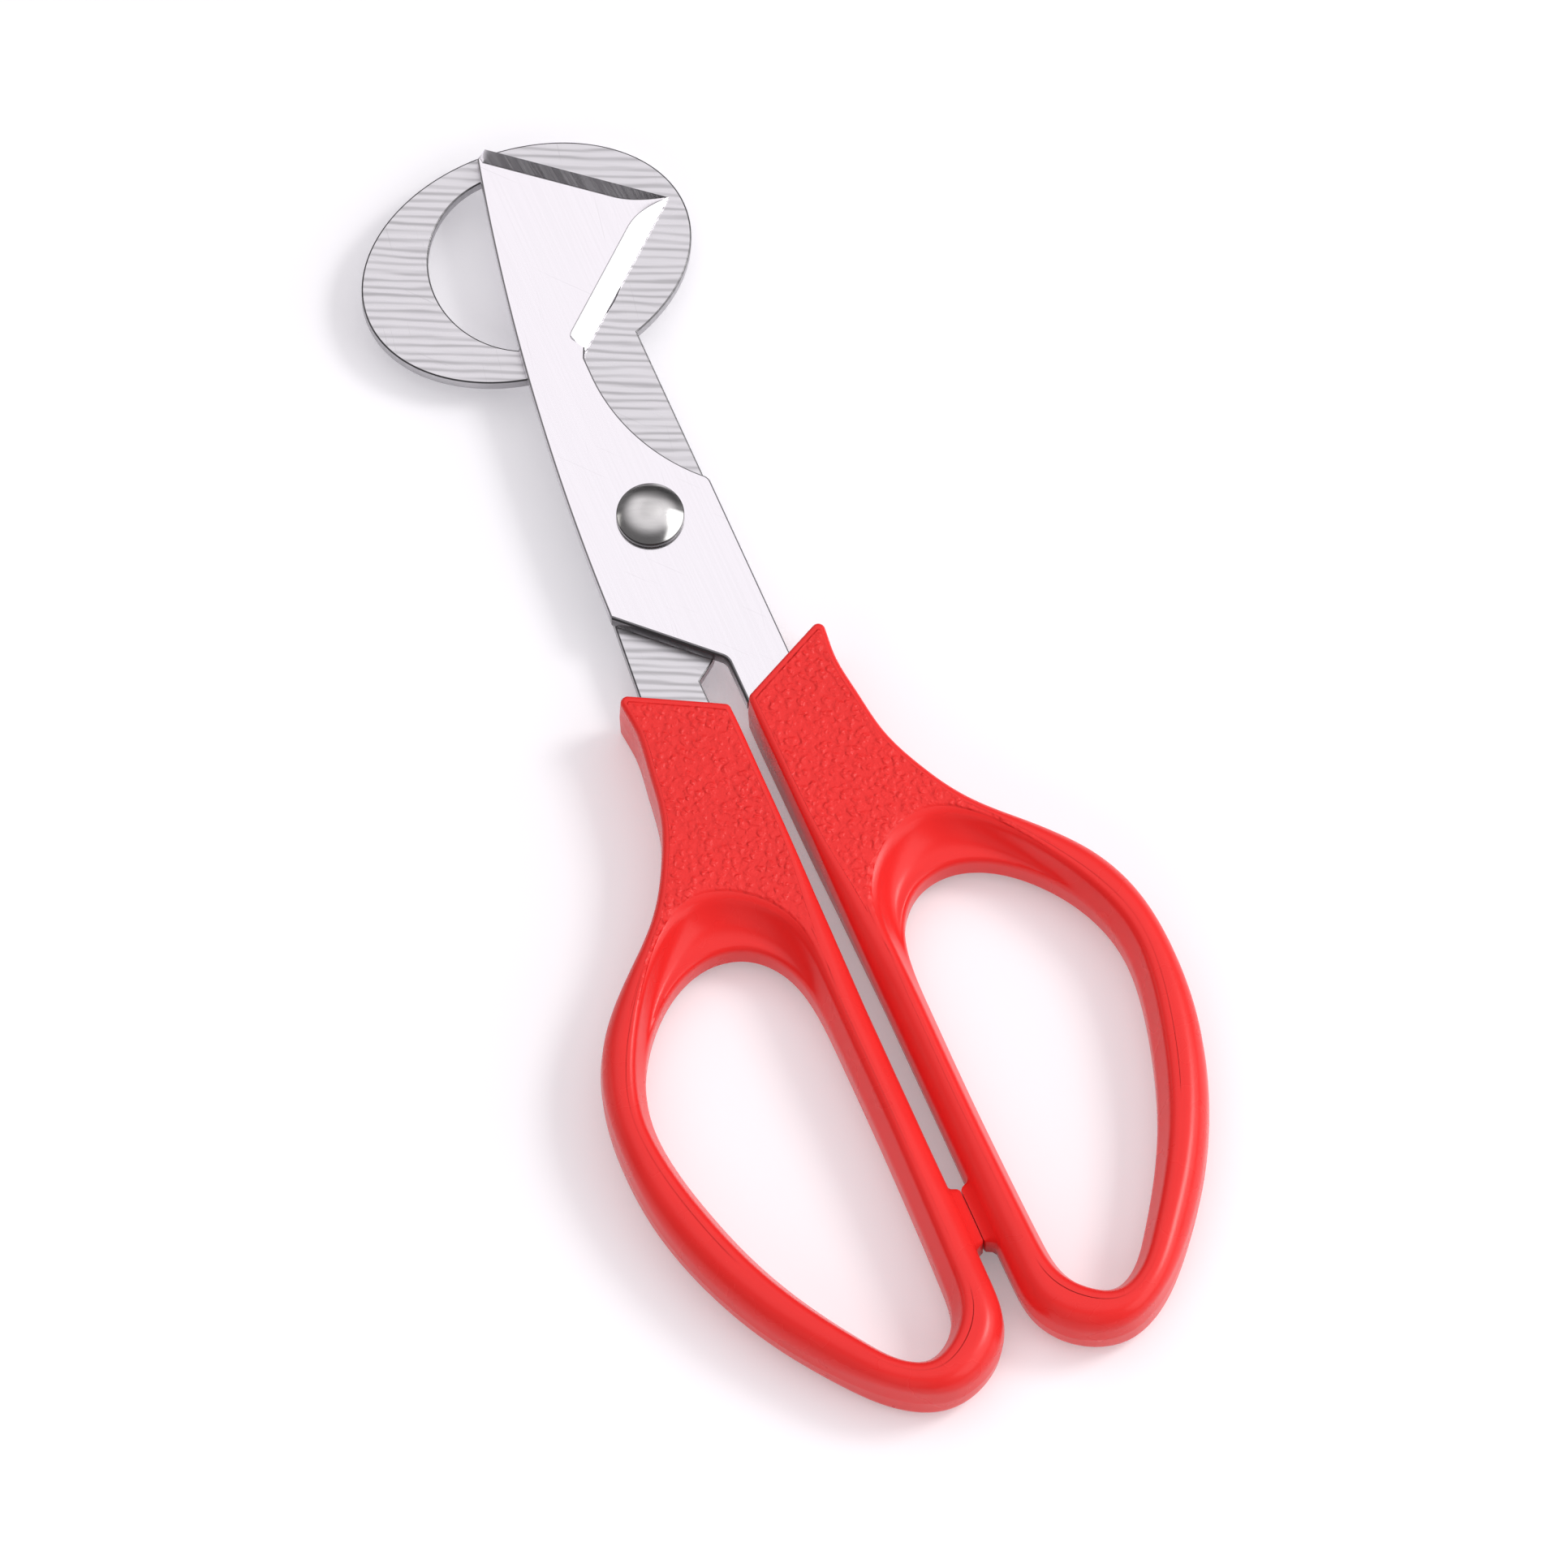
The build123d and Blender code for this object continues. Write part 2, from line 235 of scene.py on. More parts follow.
class GripSettings(bpy.types.PropertyGroup):
    """Sizes and finish of the two loop grips."""

    plastic: colour("Plastic", "Colour of the moulded grips", 0.84, 0.025, 0.023)
    gloss: amount("Roughness", "Roughness of the smooth loops", 0.28)
    neck_edge: distance("Neck edge", "Rounding of the long edges on the neck", 0.62)
    loop_edge: distance("Loop edge", "Rounding of the outer edges on the loop, seen from above", 2.3)
    loop_edge_drop: distance("Loop edge drop", "How far down the loop's rounded outer edges reach", 2.7)
    nose_edge: distance("Nose edge", "Rounding of the edges round the flat nose", 0.42)
    nose_corner: distance("Nose corner", "Rounding of the nose's two corners seen from above", 0.8)
    scoop_depth: distance("Scoop depth", "How far the scoop goes down at the finger hole", 3.15)
    back_depth: distance("Back scoop depth", "How far the shallow scoop on the back goes in", 1.3)
    scoop_sag: distance("Scoop hollow", "How far the broad part of the scoop is hollowed", 0.75)
    neck_crest: distance("Neck crest", "Softening of the crest where the scoop begins on the neck", 0.9)
    loop_crest: distance("Loop crest", "Softening of the same crest on the loop", 0.8)
    lip_round: distance("Hole lip", "Softening of the lip where the scoop meets the finger hole", 0.55)
    grain_margin: distance("Grain margin", "Smooth border between the grain and the edges", 0.45)
    draft: distance("Draft", "How far the side walls lean in for the mould", 0.10)
    pebble_size: distance("Pebble size", "Width of one pebble of the grained necks", 0.72)
    pebble_height: distance("Pebble height", "Height of the pebbles", 0.135)


class SteelSettings(bpy.types.PropertyGroup):
    """Sizes and finish of the blades and the rivet."""

    ground: colour("Ground steel", "Colour of the ground ring blade", 0.60, 0.59, 0.61)
    polished: colour("Polished steel", "Colour of the cutting blade", 0.88, 0.855, 0.89)
    rivet: colour("Rivet steel", "Colour of the rivet and its washer", 0.66, 0.65, 0.645)
    edge_break: distance("Edge break", "Rounding of the plates' edges", 0.17)
    bolster_break: distance("Bolster edge", "Rounding of the cutting blade's slanted lower edge", 0.40)
    edge_bevel: distance("Edge bevel", "Width of the ground bevel on the cutting edge", 1.95)
    crown_bevel: distance("Crown bevel", "Width of the ground bevel along the top of the head", 2.0)
    bevel_drop: distance("Bevel drop", "How far both bevels come down at the outer edge", 1.24)
    bevel_taper: distance("Bevel taper", "Length over which both bevels run out towards the tip", 5.2)
    line_pitch: distance("Line pitch", "Distance between the grinding lines of the ring blade", 0.88)
    line_turn: turning("Line turn", "Direction of the grinding lines", -25.0)


class StageSettings(bpy.types.PropertyGroup):
    """Camera, floor and lamps."""

    tilt: turning("Tilt", "Camera's lean away from straight down", 24.3)
    turn: turning("Turn", "Turn of the tool in the picture", 22.8)
    camera_distance: distance("Camera distance", "From the camera to the tool", 6000.0)
    floor: colour("Floor", "Colour of the pale floor", 0.80, 0.79, 0.815)
    floor_lift: amount("Floor lift", "Extra brightness of the floor for the camera and for metal", 0.31)
    key: amount("Key lamp", "Power of the soft lamp at the upper right", 3.3, 100.0)
    box: amount("Side box", "Power of the large soft box on the right", 6.0, 100.0)
    fill: amount("Fill lamp", "Power of the weak lamp on the left", 0.4, 100.0)
    front: amount("Front fill", "Power of the broad lamp at the front, unseen by metal", 2.9, 100.0)
    zenith: amount("Overhead light", "Strength of the room's light overhead", 1.07, 10.0)
    horizon: amount("Horizon light", "Strength of the room's light at the horizon", 0.16, 10.0)


# Curves in the plane


def lengths(steps):
    """Length of each row of steps."""
    return np.linalg.norm(steps, axis=1)


def closed_spline(points, index):
    """Smooth closed curve through points. Between two points it is a cubic in the straight distance
    between them, and its slope and bend agree at every point. The index counts points along the list,
    with fractions between them."""
    points = np.asarray(points, float)
    count = len(points)
    rows = np.arange(count)
    gap = lengths(np.roll(points, -1, 0) - points)
    gap_before = np.roll(gap, 1)
    matrix = np.diag(2 * (gap_before + gap))
    matrix[rows, (rows + 1) % count] += gap
    matrix[rows, (rows - 1) % count] += gap_before
    slope = (np.roll(points, -1, 0) - points) / gap[:, None]
    bend = np.linalg.solve(matrix, 6 * (slope - np.roll(slope, 1, 0)))
    whole = np.floor(index)
    first = whole.astype(int) % count
    second = (first + 1) % count
    part = (index - whole)[:, None]
    rest = 1 - part
    sway = (rest**3 - rest) * bend[first] + (part**3 - part) * bend[second]
    return rest * points[first] + part * points[second] + gap[first][:, None] ** 2 / 6 * sway


def run_length(points):
    """Distance along a chain of points, from the first to each."""
    return np.concatenate([[0.0], np.cumsum(lengths(np.diff(points, axis=0)))])


def along(points, places):
    """Points of a chain at the given distances along it, in straight lines between its points."""
    run = run_length(points)
    return np.column_stack([np.interp(places, run, points[:, axis]) for axis in range(points.shape[1])])


def straight(start, end, count):
    """Evenly spaced points of a straight line, without its end."""
    share = np.arange(count)[:, None] / count
    return np.asarray(start) * (1 - share) + np.asarray(end) * share


def bowed(start, end, rise, count):
    """Points of a circular arc without its end. The arc rises on the right of its straight line."""
    start, end = np.asarray(start, float), np.asarray(end, float)
    chord = np.linalg.norm(end - start)
    ahead = (end - start) / chord
    right = np.array([ahead[1], -ahead[0]])
    radius = (chord**2 / 4 + rise**2) / (2 * rise)
    half_turn = np.arcsin(chord / 2 / radius)
    angle = (np.arange(count) / count * 2 - 1) * half_turn
    middle = (start + end) / 2 + right * (rise - radius)
    return middle + radius * (np.sin(angle)[:, None] * ahead + np.cos(angle)[:, None] * right)


def bend_between(start, corner, end, share):
    """Parabola from start to end that leaves and arrives along the straight lines to the corner."""
    return start * (1 - share) ** 2 + corner * 2 * share * (1 - share) + end * share**2


def corner_reach(before, corner, after, radius):
    """Unit directions from a corner to its neighbours, half of its angle, and how far from it a round of
    that radius starts."""
    ways = [np.subtract(point, corner) for point in (before, after)]
    back, ahead = (way / np.linalg.norm(way) for way in ways)
    half = np.arccos(np.clip(back @ ahead, -1, 1)) / 2
    return back, ahead, half, radius / np.tan(half)


def soft_corner(before, corner, after, radius, count=7):
    """A corner rounded by a circular arc, from its start to its end."""
    back, ahead, half, reach = corner_reach(before, corner, after, radius)
    centre = corner + (back + ahead) / np.linalg.norm(back + ahead) * radius / np.sin(half)
    start = corner + back * reach - centre
    end = corner + ahead * reach - centre
    sweep = np.pi - 2 * half
    t = np.linspace(0, 1, count)[:, None]
    return centre + (np.sin((1 - t) * sweep) * start + np.sin(t * sweep) * end) / np.sin(sweep)


def circle(centre, radius, count):
    """Clockwise circle, so that the plate round a hole lies on its left."""
    angle = -np.arange(count) / count * tau
    return np.asarray(centre) + radius * np.column_stack([np.cos(angle), np.sin(angle)])


def smooth_step(value, low, high):
    """Rises smoothly from 0 at low to 1 at high."""
    t = np.clip((value - low) / (high - low), 0, 1)
    return t * t * (3 - 2 * t)


def nose_height(x):
    """Height of the slanted nose line of the right-hand grip at a distance from the middle line."""
    return (x - NOSE_OUTER) / (NOSE_OUTER - NOSE_INNER) * NOSE_SLANT - NOSE_DROP


# Meshes

SAME_POINT = 1e-7             # metres within which two points of a mesh become one
SAME_CORNER = 1e-9            # metres within which two points of an outline move together
IN_LINE = 0.2                 # sine of the angle under which two sides count as one line
ROUND_SHARES = (0.0, 0.07, 0.3, 0.65, 1.0)
SUPPORT = 0.09 * MM           # width of the strip beside an edge that keeps the flat face flat
SUPPORT_LIMIT = 0.12          # most of it, as a share of the edge's width


def grid_faces(rings, columns, flip):
    """Four-cornered faces of a grid of rings, closed along each ring. Flip turns them round."""
    ring, column = np.meshgrid(np.arange(rings - 1), np.arange(columns), indexing="ij")
    here = ring * columns + column
    beside = ring * columns + (column + 1) % columns
    corners = [here, here + columns, beside + columns, beside]
    if flip:
        corners.reverse()
    return np.stack(corners, axis=-1).reshape(-1, 4)


def new_object(name, data):
    """An object in the scene with a mesh, lamp or camera."""
    made = bpy.data.objects.new(name, data)
    bpy.context.scene.collection.objects.link(made)
    return made


def new_piece(name, vertices, faces, material, body, slot, node, crease, marks):
    """Puts a finished surface into the scene, moved to the rivet's place, smooth but for creases over an
    angle. Marks are numbers for each vertex that materials can read. Points that lie on each other become
    one."""
    mesh = bpy.data.meshes.new(name)
    placed = np.asarray(vertices, float) + np.array([PIVOT[0], PIVOT[1], 0.0])
    mesh.from_pydata(placed.tolist(), [], [list(map(int, face)) for face in faces])
    for label, values in marks.items():
        attribute = mesh.attributes.new(label, "FLOAT", "POINT")
        attribute.data.foreach_set("value", np.asarray(values, np.float32).ravel())
    work = bmesh.new()
    work.from_mesh(mesh)
    bmesh.ops.remove_doubles(work, verts=work.verts, dist=SAME_POINT)
    work.to_mesh(mesh)
    work.free()
    mesh.polygons.foreach_set("use_smooth", np.ones(len(mesh.polygons), bool))
    mesh.set_sharp_from_angle(angle=radians(crease))
    mesh.materials.append(material)
    piece = new_object(name, mesh)
    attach(piece, body)
    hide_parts(node)


def inset_steps(loop, width):
    """How far each corner of a closed outline moves when both of its sides move inwards by their widths.
    The move meets both widths at once; where the sides are nearly in line it is their mean along the
    normal. Points that lie on each other move together."""
    fresh = lengths(loop - np.roll(loop, 1, 0)) > SAME_CORNER
    group = np.maximum(np.cumsum(fresh) - 1, 0)
    corner = loop[fresh]
    width = width[np.roll(fresh, -1)]
    side = np.roll(corner, -1, 0) - corner
    side = side / lengths(side)[:, None]
    inward = np.column_stack([-side[:, 1], side[:, 0]])
    before = np.roll(inward, 1, 0)
    width_before = np.roll(width, 1)
    cross = before[:, 0] * inward[:, 1] - before[:, 1] * inward[:, 0]
    in_line = np.abs(cross) < IN_LINE
    safe = np.where(in_line, 1.0, cross)
    mitre = np.column_stack([
        width_before * inward[:, 1] - before[:, 1] * width,
        before[:, 0] * width - inward[:, 0] * width_before,
    ]) / safe[:, None]
    mean = (before + inward) / 2
    mean = mean / lengths(mean)[:, None] ** 2
    plain = mean * ((width + width_before) / 2)[:, None]
    return np.where(in_line[:, None], plain, mitre)[group]


def inside(points, loop):
    """True for the points that a closed outline holds, by counting its crossings to their right."""
    start, end = loop, np.roll(loop, -1, 0)
    x, y = points[:, :1], points[:, 1:]
    spans = (start[None, :, 1] > y) != (end[None, :, 1] > y)
    rise = np.where(end[:, 1] == start[:, 1], 1.0, end[:, 1] - start[:, 1])
    cross_x = start[:, 0] + (y - start[:, 1]) / rise * (end[:, 0] - start[:, 0])
    return (spans & (cross_x > x)).sum(1) % 2 == 1


def cap_faces(loops, first_vertices, upwards):
    """Triangles of the flat face between an outer outline and its holes, laid by the rule that no point
    lies in the circle round a triangle."""
    points = np.concatenate(loops)
    numbers = np.concatenate([
        first + np.arange(len(loop)) for loop, first in zip(loops, first_vertices)
    ])
    starts = np.cumsum([0] + [len(loop) for loop in loops])
    edges = [
        (start + step, start + (step + 1) % len(loop))
        for loop, start in zip(loops, starts)
        for step in range(len(loop))
    ]
    within_outline = 1
    corners = [Vector(point) for point in points / MM]
    made = delaunay_2d_cdt(corners, edges, [], within_outline, SAME_POINT)
    kept = np.array([origin[0] for origin in made[3]])
    triangles = kept[np.array(made[2])]
    middles = points[triangles].mean(1)
    wanted = np.ones(len(triangles), bool)
    for hole in loops[1:]:
        wanted &= ~inside(middles, hole)
    triangles = triangles[wanted]
    a, b, c = (points[triangles[:, corner]] for corner in range(3))
    turn = (b[:, 0] - a[:, 0]) * (c[:, 1] - a[:, 1]) - (b[:, 1] - a[:, 1]) * (c[:, 0] - a[:, 0])
    wrong = (turn > 0) != upwards
    triangles[wrong] = triangles[wrong][:, ::-1]
    return numbers[triangles]


def plate_rings(loop, levels, width, drop, low_width, slope=None, inner=None, inner_drop=0.0, dark=0.0):
    """Rings of a plate's edge from its upper face round to its lower face, as x, y, z, side and crease
    mark. Each edge is a quarter of an ellipse, width wide and drop high, or a straight slope where slope
    is true. Inner gives the upper face's outline where it isn't the outline moved in by the width, and
    inner_drop how far that outline lies below the face. The crease mark is painted shade: it darkens the
    edge's rounding and the top line of a slope. Dark is the crease mark of the wall, painted shade there
    too."""
    low, high = levels
    slope = np.zeros(len(loop), bool) if slope is None else slope
    top_move = inset_steps(loop, width) if inner is None else inner - loop
    low_move = inset_steps(loop, low_width)
    rings = []

    def ring(move, share, level, side, crease):
        columns = [np.broadcast_to(values, len(loop)) for values in (share, level, side, crease)]
        place = loop + move * columns[0][:, None]
        rings.append(np.column_stack([place, *columns[1:]]))

    def support(move, level):
        ring(move, 1 + np.minimum(SUPPORT / lengths(move), SUPPORT_LIMIT), level, 0.0, 0.0)

    start = high - inner_drop
    support(top_move, start)
    for share in ROUND_SHARES:
        angle = share * np.pi / 2
        out = np.where(slope, share, sin(angle))
        down = np.where(slope, share, 1 - cos(angle))
        side = np.where(slope, 0.0, float(share == 1))
        # Painted shade: a dark line on the rounding, at the top of a slope, and on the wall where dark is
        # set
        crease = np.where(slope, float(share == 0), dark if share == 1 else float(share > 0))
        ring(top_move, 1 - out, start - (drop - inner_drop) * down, side, crease)
    for share in ROUND_SHARES[::-1]:
        angle = share * np.pi / 2
        ring(low_move, 1 - sin(angle), low + low_width * (1 - cos(angle)), min(1.0, share * 2), dark)
    support(low_move, low)
    return np.array(rings)


def new_plate(name, edges, material, body, slot, node, crease):
    """A flat plate from the rings of its outline and its holes, outline first, put into the scene."""
    vertices, faces, tops, bottoms, count = [], [], [], [], 0
    for rings in edges:
        rows, columns = rings.shape[:2]
        vertices.append(rings.reshape(rows * columns, -1))
        faces.extend((grid_faces(rows, columns, False) + count).tolist())
        tops.append((rings[0][:, :2], count))
        bottoms.append((rings[-1][:, :2], count + (rows - 1) * columns))
        count += rows * columns
    for caps, upwards in ((tops, True), (bottoms, False)):
        loops, first_vertices = zip(*caps)
        faces.extend(cap_faces(loops, first_vertices, upwards).tolist())
    vertices = np.concatenate(vertices)
    # The crease mark carries painted shade: dark lines on the plate's edges
    marks = {"side": vertices[:, 3], "crease": vertices[:, 4]}
    new_piece(name, vertices[:, :3], faces, material, body, slot, node, crease, marks)


def plain_hole(centre, radius, levels, edge_break, count):
    """Rings of a round hole through a plate."""
    width = np.full(count, edge_break)
    return plate_rings(circle(centre, radius, count), levels, width, width, width)


def lock_holes(inner, outer, levels, edge_break):
    """Rings of the two holes that lock a tang into its grip."""
    middle = (inner + outer) / 2
    heights = [TANG_END + (step - 0.5) * LOCK_HOLE_PITCH for step in (1, 2)]
    return [
        plain_hole((middle, y), LOCK_HOLE_RADIUS, levels, edge_break, LOCK_HOLE_STEPS) for y in heights
    ]


# Shader nodes


class Board:
    """Places and wires shader nodes in one tree."""

    def __init__(self, tree):
        self.tree = tree

    def add(self, kind, inputs=None, **settings):
        """A node with its settings, whose inputs are values or the outputs of other nodes."""
        made = self.tree.nodes.new("ShaderNode" + kind)
        for key, value in settings.items():
            setattr(made, key, value)
        for key, value in (inputs or {}).items():
            self.feed(made.inputs[key], value)
        return made

    def feed(self, socket, value):
        """Links an output to a socket, or sets the socket's value."""
        if isinstance(value, bpy.types.NodeSocket):
            self.tree.links.new(value, socket)
        else:
            socket.default_value = value

    def maths(self, operation, first, second=0.0, third=0.0):
        """The result of a Math node."""
        return self.add("Math", {0: first, 1: second, 2: third}, operation=operation).outputs[0]

    def vector(self, operation, first, second):
        """The outputs of a calculation with two vectors."""
        return self.add("VectorMath", {0: first, 1: second}, operation=operation).outputs

    def ramp(self, value, low, high, to_low=0.0, to_high=1.0):
        """A value stretched from one span to another, smoothly and within it."""
        spans = {"Value": value, "From Min": low, "From Max": high, "To Min": to_low, "To Max": to_high}
        return self.add("MapRange", spans, interpolation_type="SMOOTHSTEP").outputs["Result"]

    def blend(self, share, first, second):
        """A number between two numbers."""
        return self.add("Mix", {0: share, 2: first, 3: second}, data_type="FLOAT").outputs[0]

    def mix(self, share, first, second):
        """A colour between two colours."""
        made = self.add("Mix", data_type="RGBA")
        colours = [socket for socket in made.inputs if socket.type == "RGBA"]
        self.feed(made.inputs[0], share)
        self.feed(colours[0], first)
        self.feed(colours[1], second)
        return next(socket for socket in made.outputs if socket.type == "RGBA")

    def place(self):
        """The place on the piece in its own coordinates."""
        return self.add("TexCoord").outputs["Object"]

    def turned(self, angle):
        """The place on the piece, turned about the Z axis."""
        inputs = {"Vector": self.place(), "Angle": angle}
        return self.add("VectorRotate", inputs, rotation_type="Z_AXIS").outputs[0]

    def noise(self, vector, scale, detail, roughness=0.5):
        """Soft noise from 0 to 1."""
        inputs = {"Vector": vector, "Scale": scale, "Detail": detail, "Roughness": roughness}
        return self.add("TexNoise", inputs).outputs["Fac"]

    def mark(self, name):
        """A number that the mesh keeps for each vertex."""
        return self.add("Attribute", attribute_name=name).outputs["Fac"]

    def relief(self, shader, height, depth):
        """Roughens a shader's surface by a height from 0 to 1 that stands for a depth."""
        bump = self.add("Bump", {"Height": height, "Strength": 1.0, "Distance": depth})
        self.feed(shader.inputs["Normal"], bump.outputs["Normal"])

    def smudges(self, size):
        """The soft patches of the shared group."""
        return self.group("smudges", build_smudges, {"Size": size})["Patch"]

    def group(self, name, build, inputs):
        """A shared node group, built the first time it is asked for, with its own values here."""
        made = self.add("Group")
        made.node_tree = bpy.data.node_groups.get(name) or build(name)
        for key, value in inputs.items():
            self.feed(made.inputs[key], value)
        return made.outputs


def new_group(name, inputs, output):
    """An empty shared node group with number sockets: its tree, board, inputs and result."""
    tree = bpy.data.node_groups.new(name, "ShaderNodeTree")
    for label, value in inputs.items():
        socket = tree.interface.new_socket(label, in_out="INPUT", socket_type="NodeSocketFloat")
        socket.default_value = value
    tree.interface.new_socket(output, in_out="OUTPUT", socket_type="NodeSocketFloat")
    start = tree.nodes.new("NodeGroupInput")
    end = tree.nodes.new("NodeGroupOutput")
    return tree, Board(tree), start.outputs, end.inputs[output]


# Noise of the shared effects: scale, detail and roughness
BANDS = (1.15, 2.0, 0.6)
FINE_STREAKS = (5.5, 3.0, 0.65)
WAVER = (0.45, 2.0)           # scale and detail
WAVER_REACH = 1.3             # in pitches of the lines
WAVER_SHORTER = 6.0           # how many times shorter than the streaks the lines' wavering is
LINE_WIDTH = 0.75             # share of the pitch that a line's shading takes up
LINE_FADED = 0.75             # tone to which faint stretches of a line fade
SCRATCH_STRETCH = (90.0, 5200.0, 0.0)
SCRATCH_PEAKS = (0.70, 0.76)
PATCHES = (4.0, 0.55)         # detail and roughness
PATCH_SPAN = (0.30, 0.72)
PEBBLE_REACH = 0.75           # width of a pebble's mound, in pebble sizes
WRINKLE_HEIGHT = 0.9          # as a share of the mounds' height


def build_brushing(name):
    """Streaks across a metal face along the turned X axis: noise stretched along them, mixed with regular
    dark lines whose spacing is the pitch and whose course and strength waver."""
    inputs = {"Turn": 0.0, "Pitch": 0.001, "Length": 0.02, "Fine": 0.5, "Lines": 0.0}
    tree, board, given, result = new_group(name, inputs, "Tone")
    apart = board.add("SeparateXYZ", {0: board.turned(given["Turn"])}).outputs
    across = board.maths("DIVIDE", apart["Y"], given["Pitch"])
    lengthwise = board.maths("DIVIDE", apart["X"], given["Length"])
    stretched = board.add("CombineXYZ", {"X": lengthwise, "Y": across}).outputs[0]
    shorter = board.maths("MULTIPLY", lengthwise, WAVER_SHORTER)
    wavy = board.add("CombineXYZ", {"X": shorter, "Y": across}).outputs[0]
    bands = board.noise(stretched, *BANDS)
    fine = board.noise(stretched, *FINE_STREAKS)
    waver = board.noise(wavy, *WAVER)
    phase = board.maths("FRACT", board.maths("MULTIPLY_ADD", waver, WAVER_REACH, across))
    beside_line = board.maths("ABSOLUTE", board.maths("MULTIPLY_ADD", phase, 2.0, -1.0))
    line = board.ramp(beside_line, 0.0, LINE_WIDTH)
    faintness = board.ramp(bands, 0.35, 0.75, 0.0, 0.75)
    uneven_lines = board.blend(faintness, line, LINE_FADED)
    lined = board.blend(given["Lines"], board.ramp(bands, 0.33, 0.67), uneven_lines)
    board.feed(result, board.blend(given["Fine"], lined, fine))
    return tree


def build_scratches(name):
    """Sparse hair scratches: the peaks of strongly stretched noise, in two crossing directions."""
    tree, board, given, result = new_group(name, {"Turn": 0.0, "Spread": 0.5}, "Mask")
    masks = []
    for lean in (-1.0, 1.0):
        angle = board.maths("MULTIPLY_ADD", given["Spread"], lean, given["Turn"])
        stretched = board.vector("MULTIPLY", board.turned(angle), SCRATCH_STRETCH)[0]
        masks.append(board.ramp(board.noise(stretched, 1.0, 1.0), *SCRATCH_PEAKS))
    board.feed(result, board.maths("MAXIMUM", *masks))
    return tree


def build_smudges(name):
    """Soft cloudy patches left by handling: low noise."""
    tree, board, given, result = new_group(name, {"Size": 0.01}, "Patch")
    scale = board.maths("DIVIDE", 1.0, given["Size"])
    board.feed(result, board.ramp(board.noise(board.place(), scale, *PATCHES), *PATCH_SPAN))
    return tree


def build_pebbles(name):
    """Moulded leather grain: round tops of uneven cells, jogged by noise so that no two are alike, with
    soft wrinkles added."""
    tree, board, given, result = new_group(name, {"Size": 0.0006}, "Height")
    place = board.place()
    scale = board.maths("DIVIDE", 1.0, given["Size"])
    jog = board.add("TexNoise", {"Vector": place, "Scale": scale, "Detail": 2.0}).outputs["Color"]
    shift = board.vector("SUBTRACT", jog, (0.5, 0.5, 0.5))[0]
    size = board.add("CombineXYZ", {key: given["Size"] for key in "XYZ"}).outputs[0]
    moved = board.vector("ADD", place, board.vector("MULTIPLY", shift, size)[0])[0]
    inputs = {"Vector": moved, "Scale": scale, "Smoothness": 0.6, "Randomness": 1.0}
    cells = board.add("TexVoronoi", inputs, feature="SMOOTH_F1").outputs["Distance"]
    mound = board.ramp(cells, 0.0, PEBBLE_REACH, 1.0, 0.0)
    wrinkles = board.noise(moved, scale, 1.0)
    board.feed(result, board.maths("MULTIPLY_ADD", wrinkles, WRINKLE_HEIGHT, mound))
    return tree


def new_material(name):
    """A material with its board and its principled shader."""
    material = bpy.data.materials.new(name)
    material.use_nodes = True
    board = Board(material.node_tree)
    shader = next(node for node in material.node_tree.nodes if node.type == "BSDF_PRINCIPLED")
    return material, board, shader


def shade(rgb, factor):
    """A colour made lighter or darker, with its fourth number."""
    return tuple(min(1.0, part * factor) for part in rgb) + (1.0,)


# Steel finish: tones as shares of the steel's colour, how strongly each shows, and added roughness.
# Streaks and smudges change the roughness in proportion to it
SCRATCHES = {"Turn": 1.3, "Spread": 0.45}
SCRATCH_TONE, SCRATCH_SHARE, SCRATCH_DEPTH = 0.72, 0.25, 0.3
WALL_TONE, WALL_ROUGHNESS = 0.8, 0.12
# The crease tone is painted shade: a dark line on edges, the bolster's wall and the rivet's rim, for dark
# surroundings mirrored there
PAINTED_EDGE_SHADE_TONE, PAINTED_EDGE_SHADE_SHARE = 0.14, 0.92
MATTE_ROUGHNESS = 0.3
DARK_STREAK, BRIGHT_STREAK, SMUDGE = 1.2, 0.85, 0.25


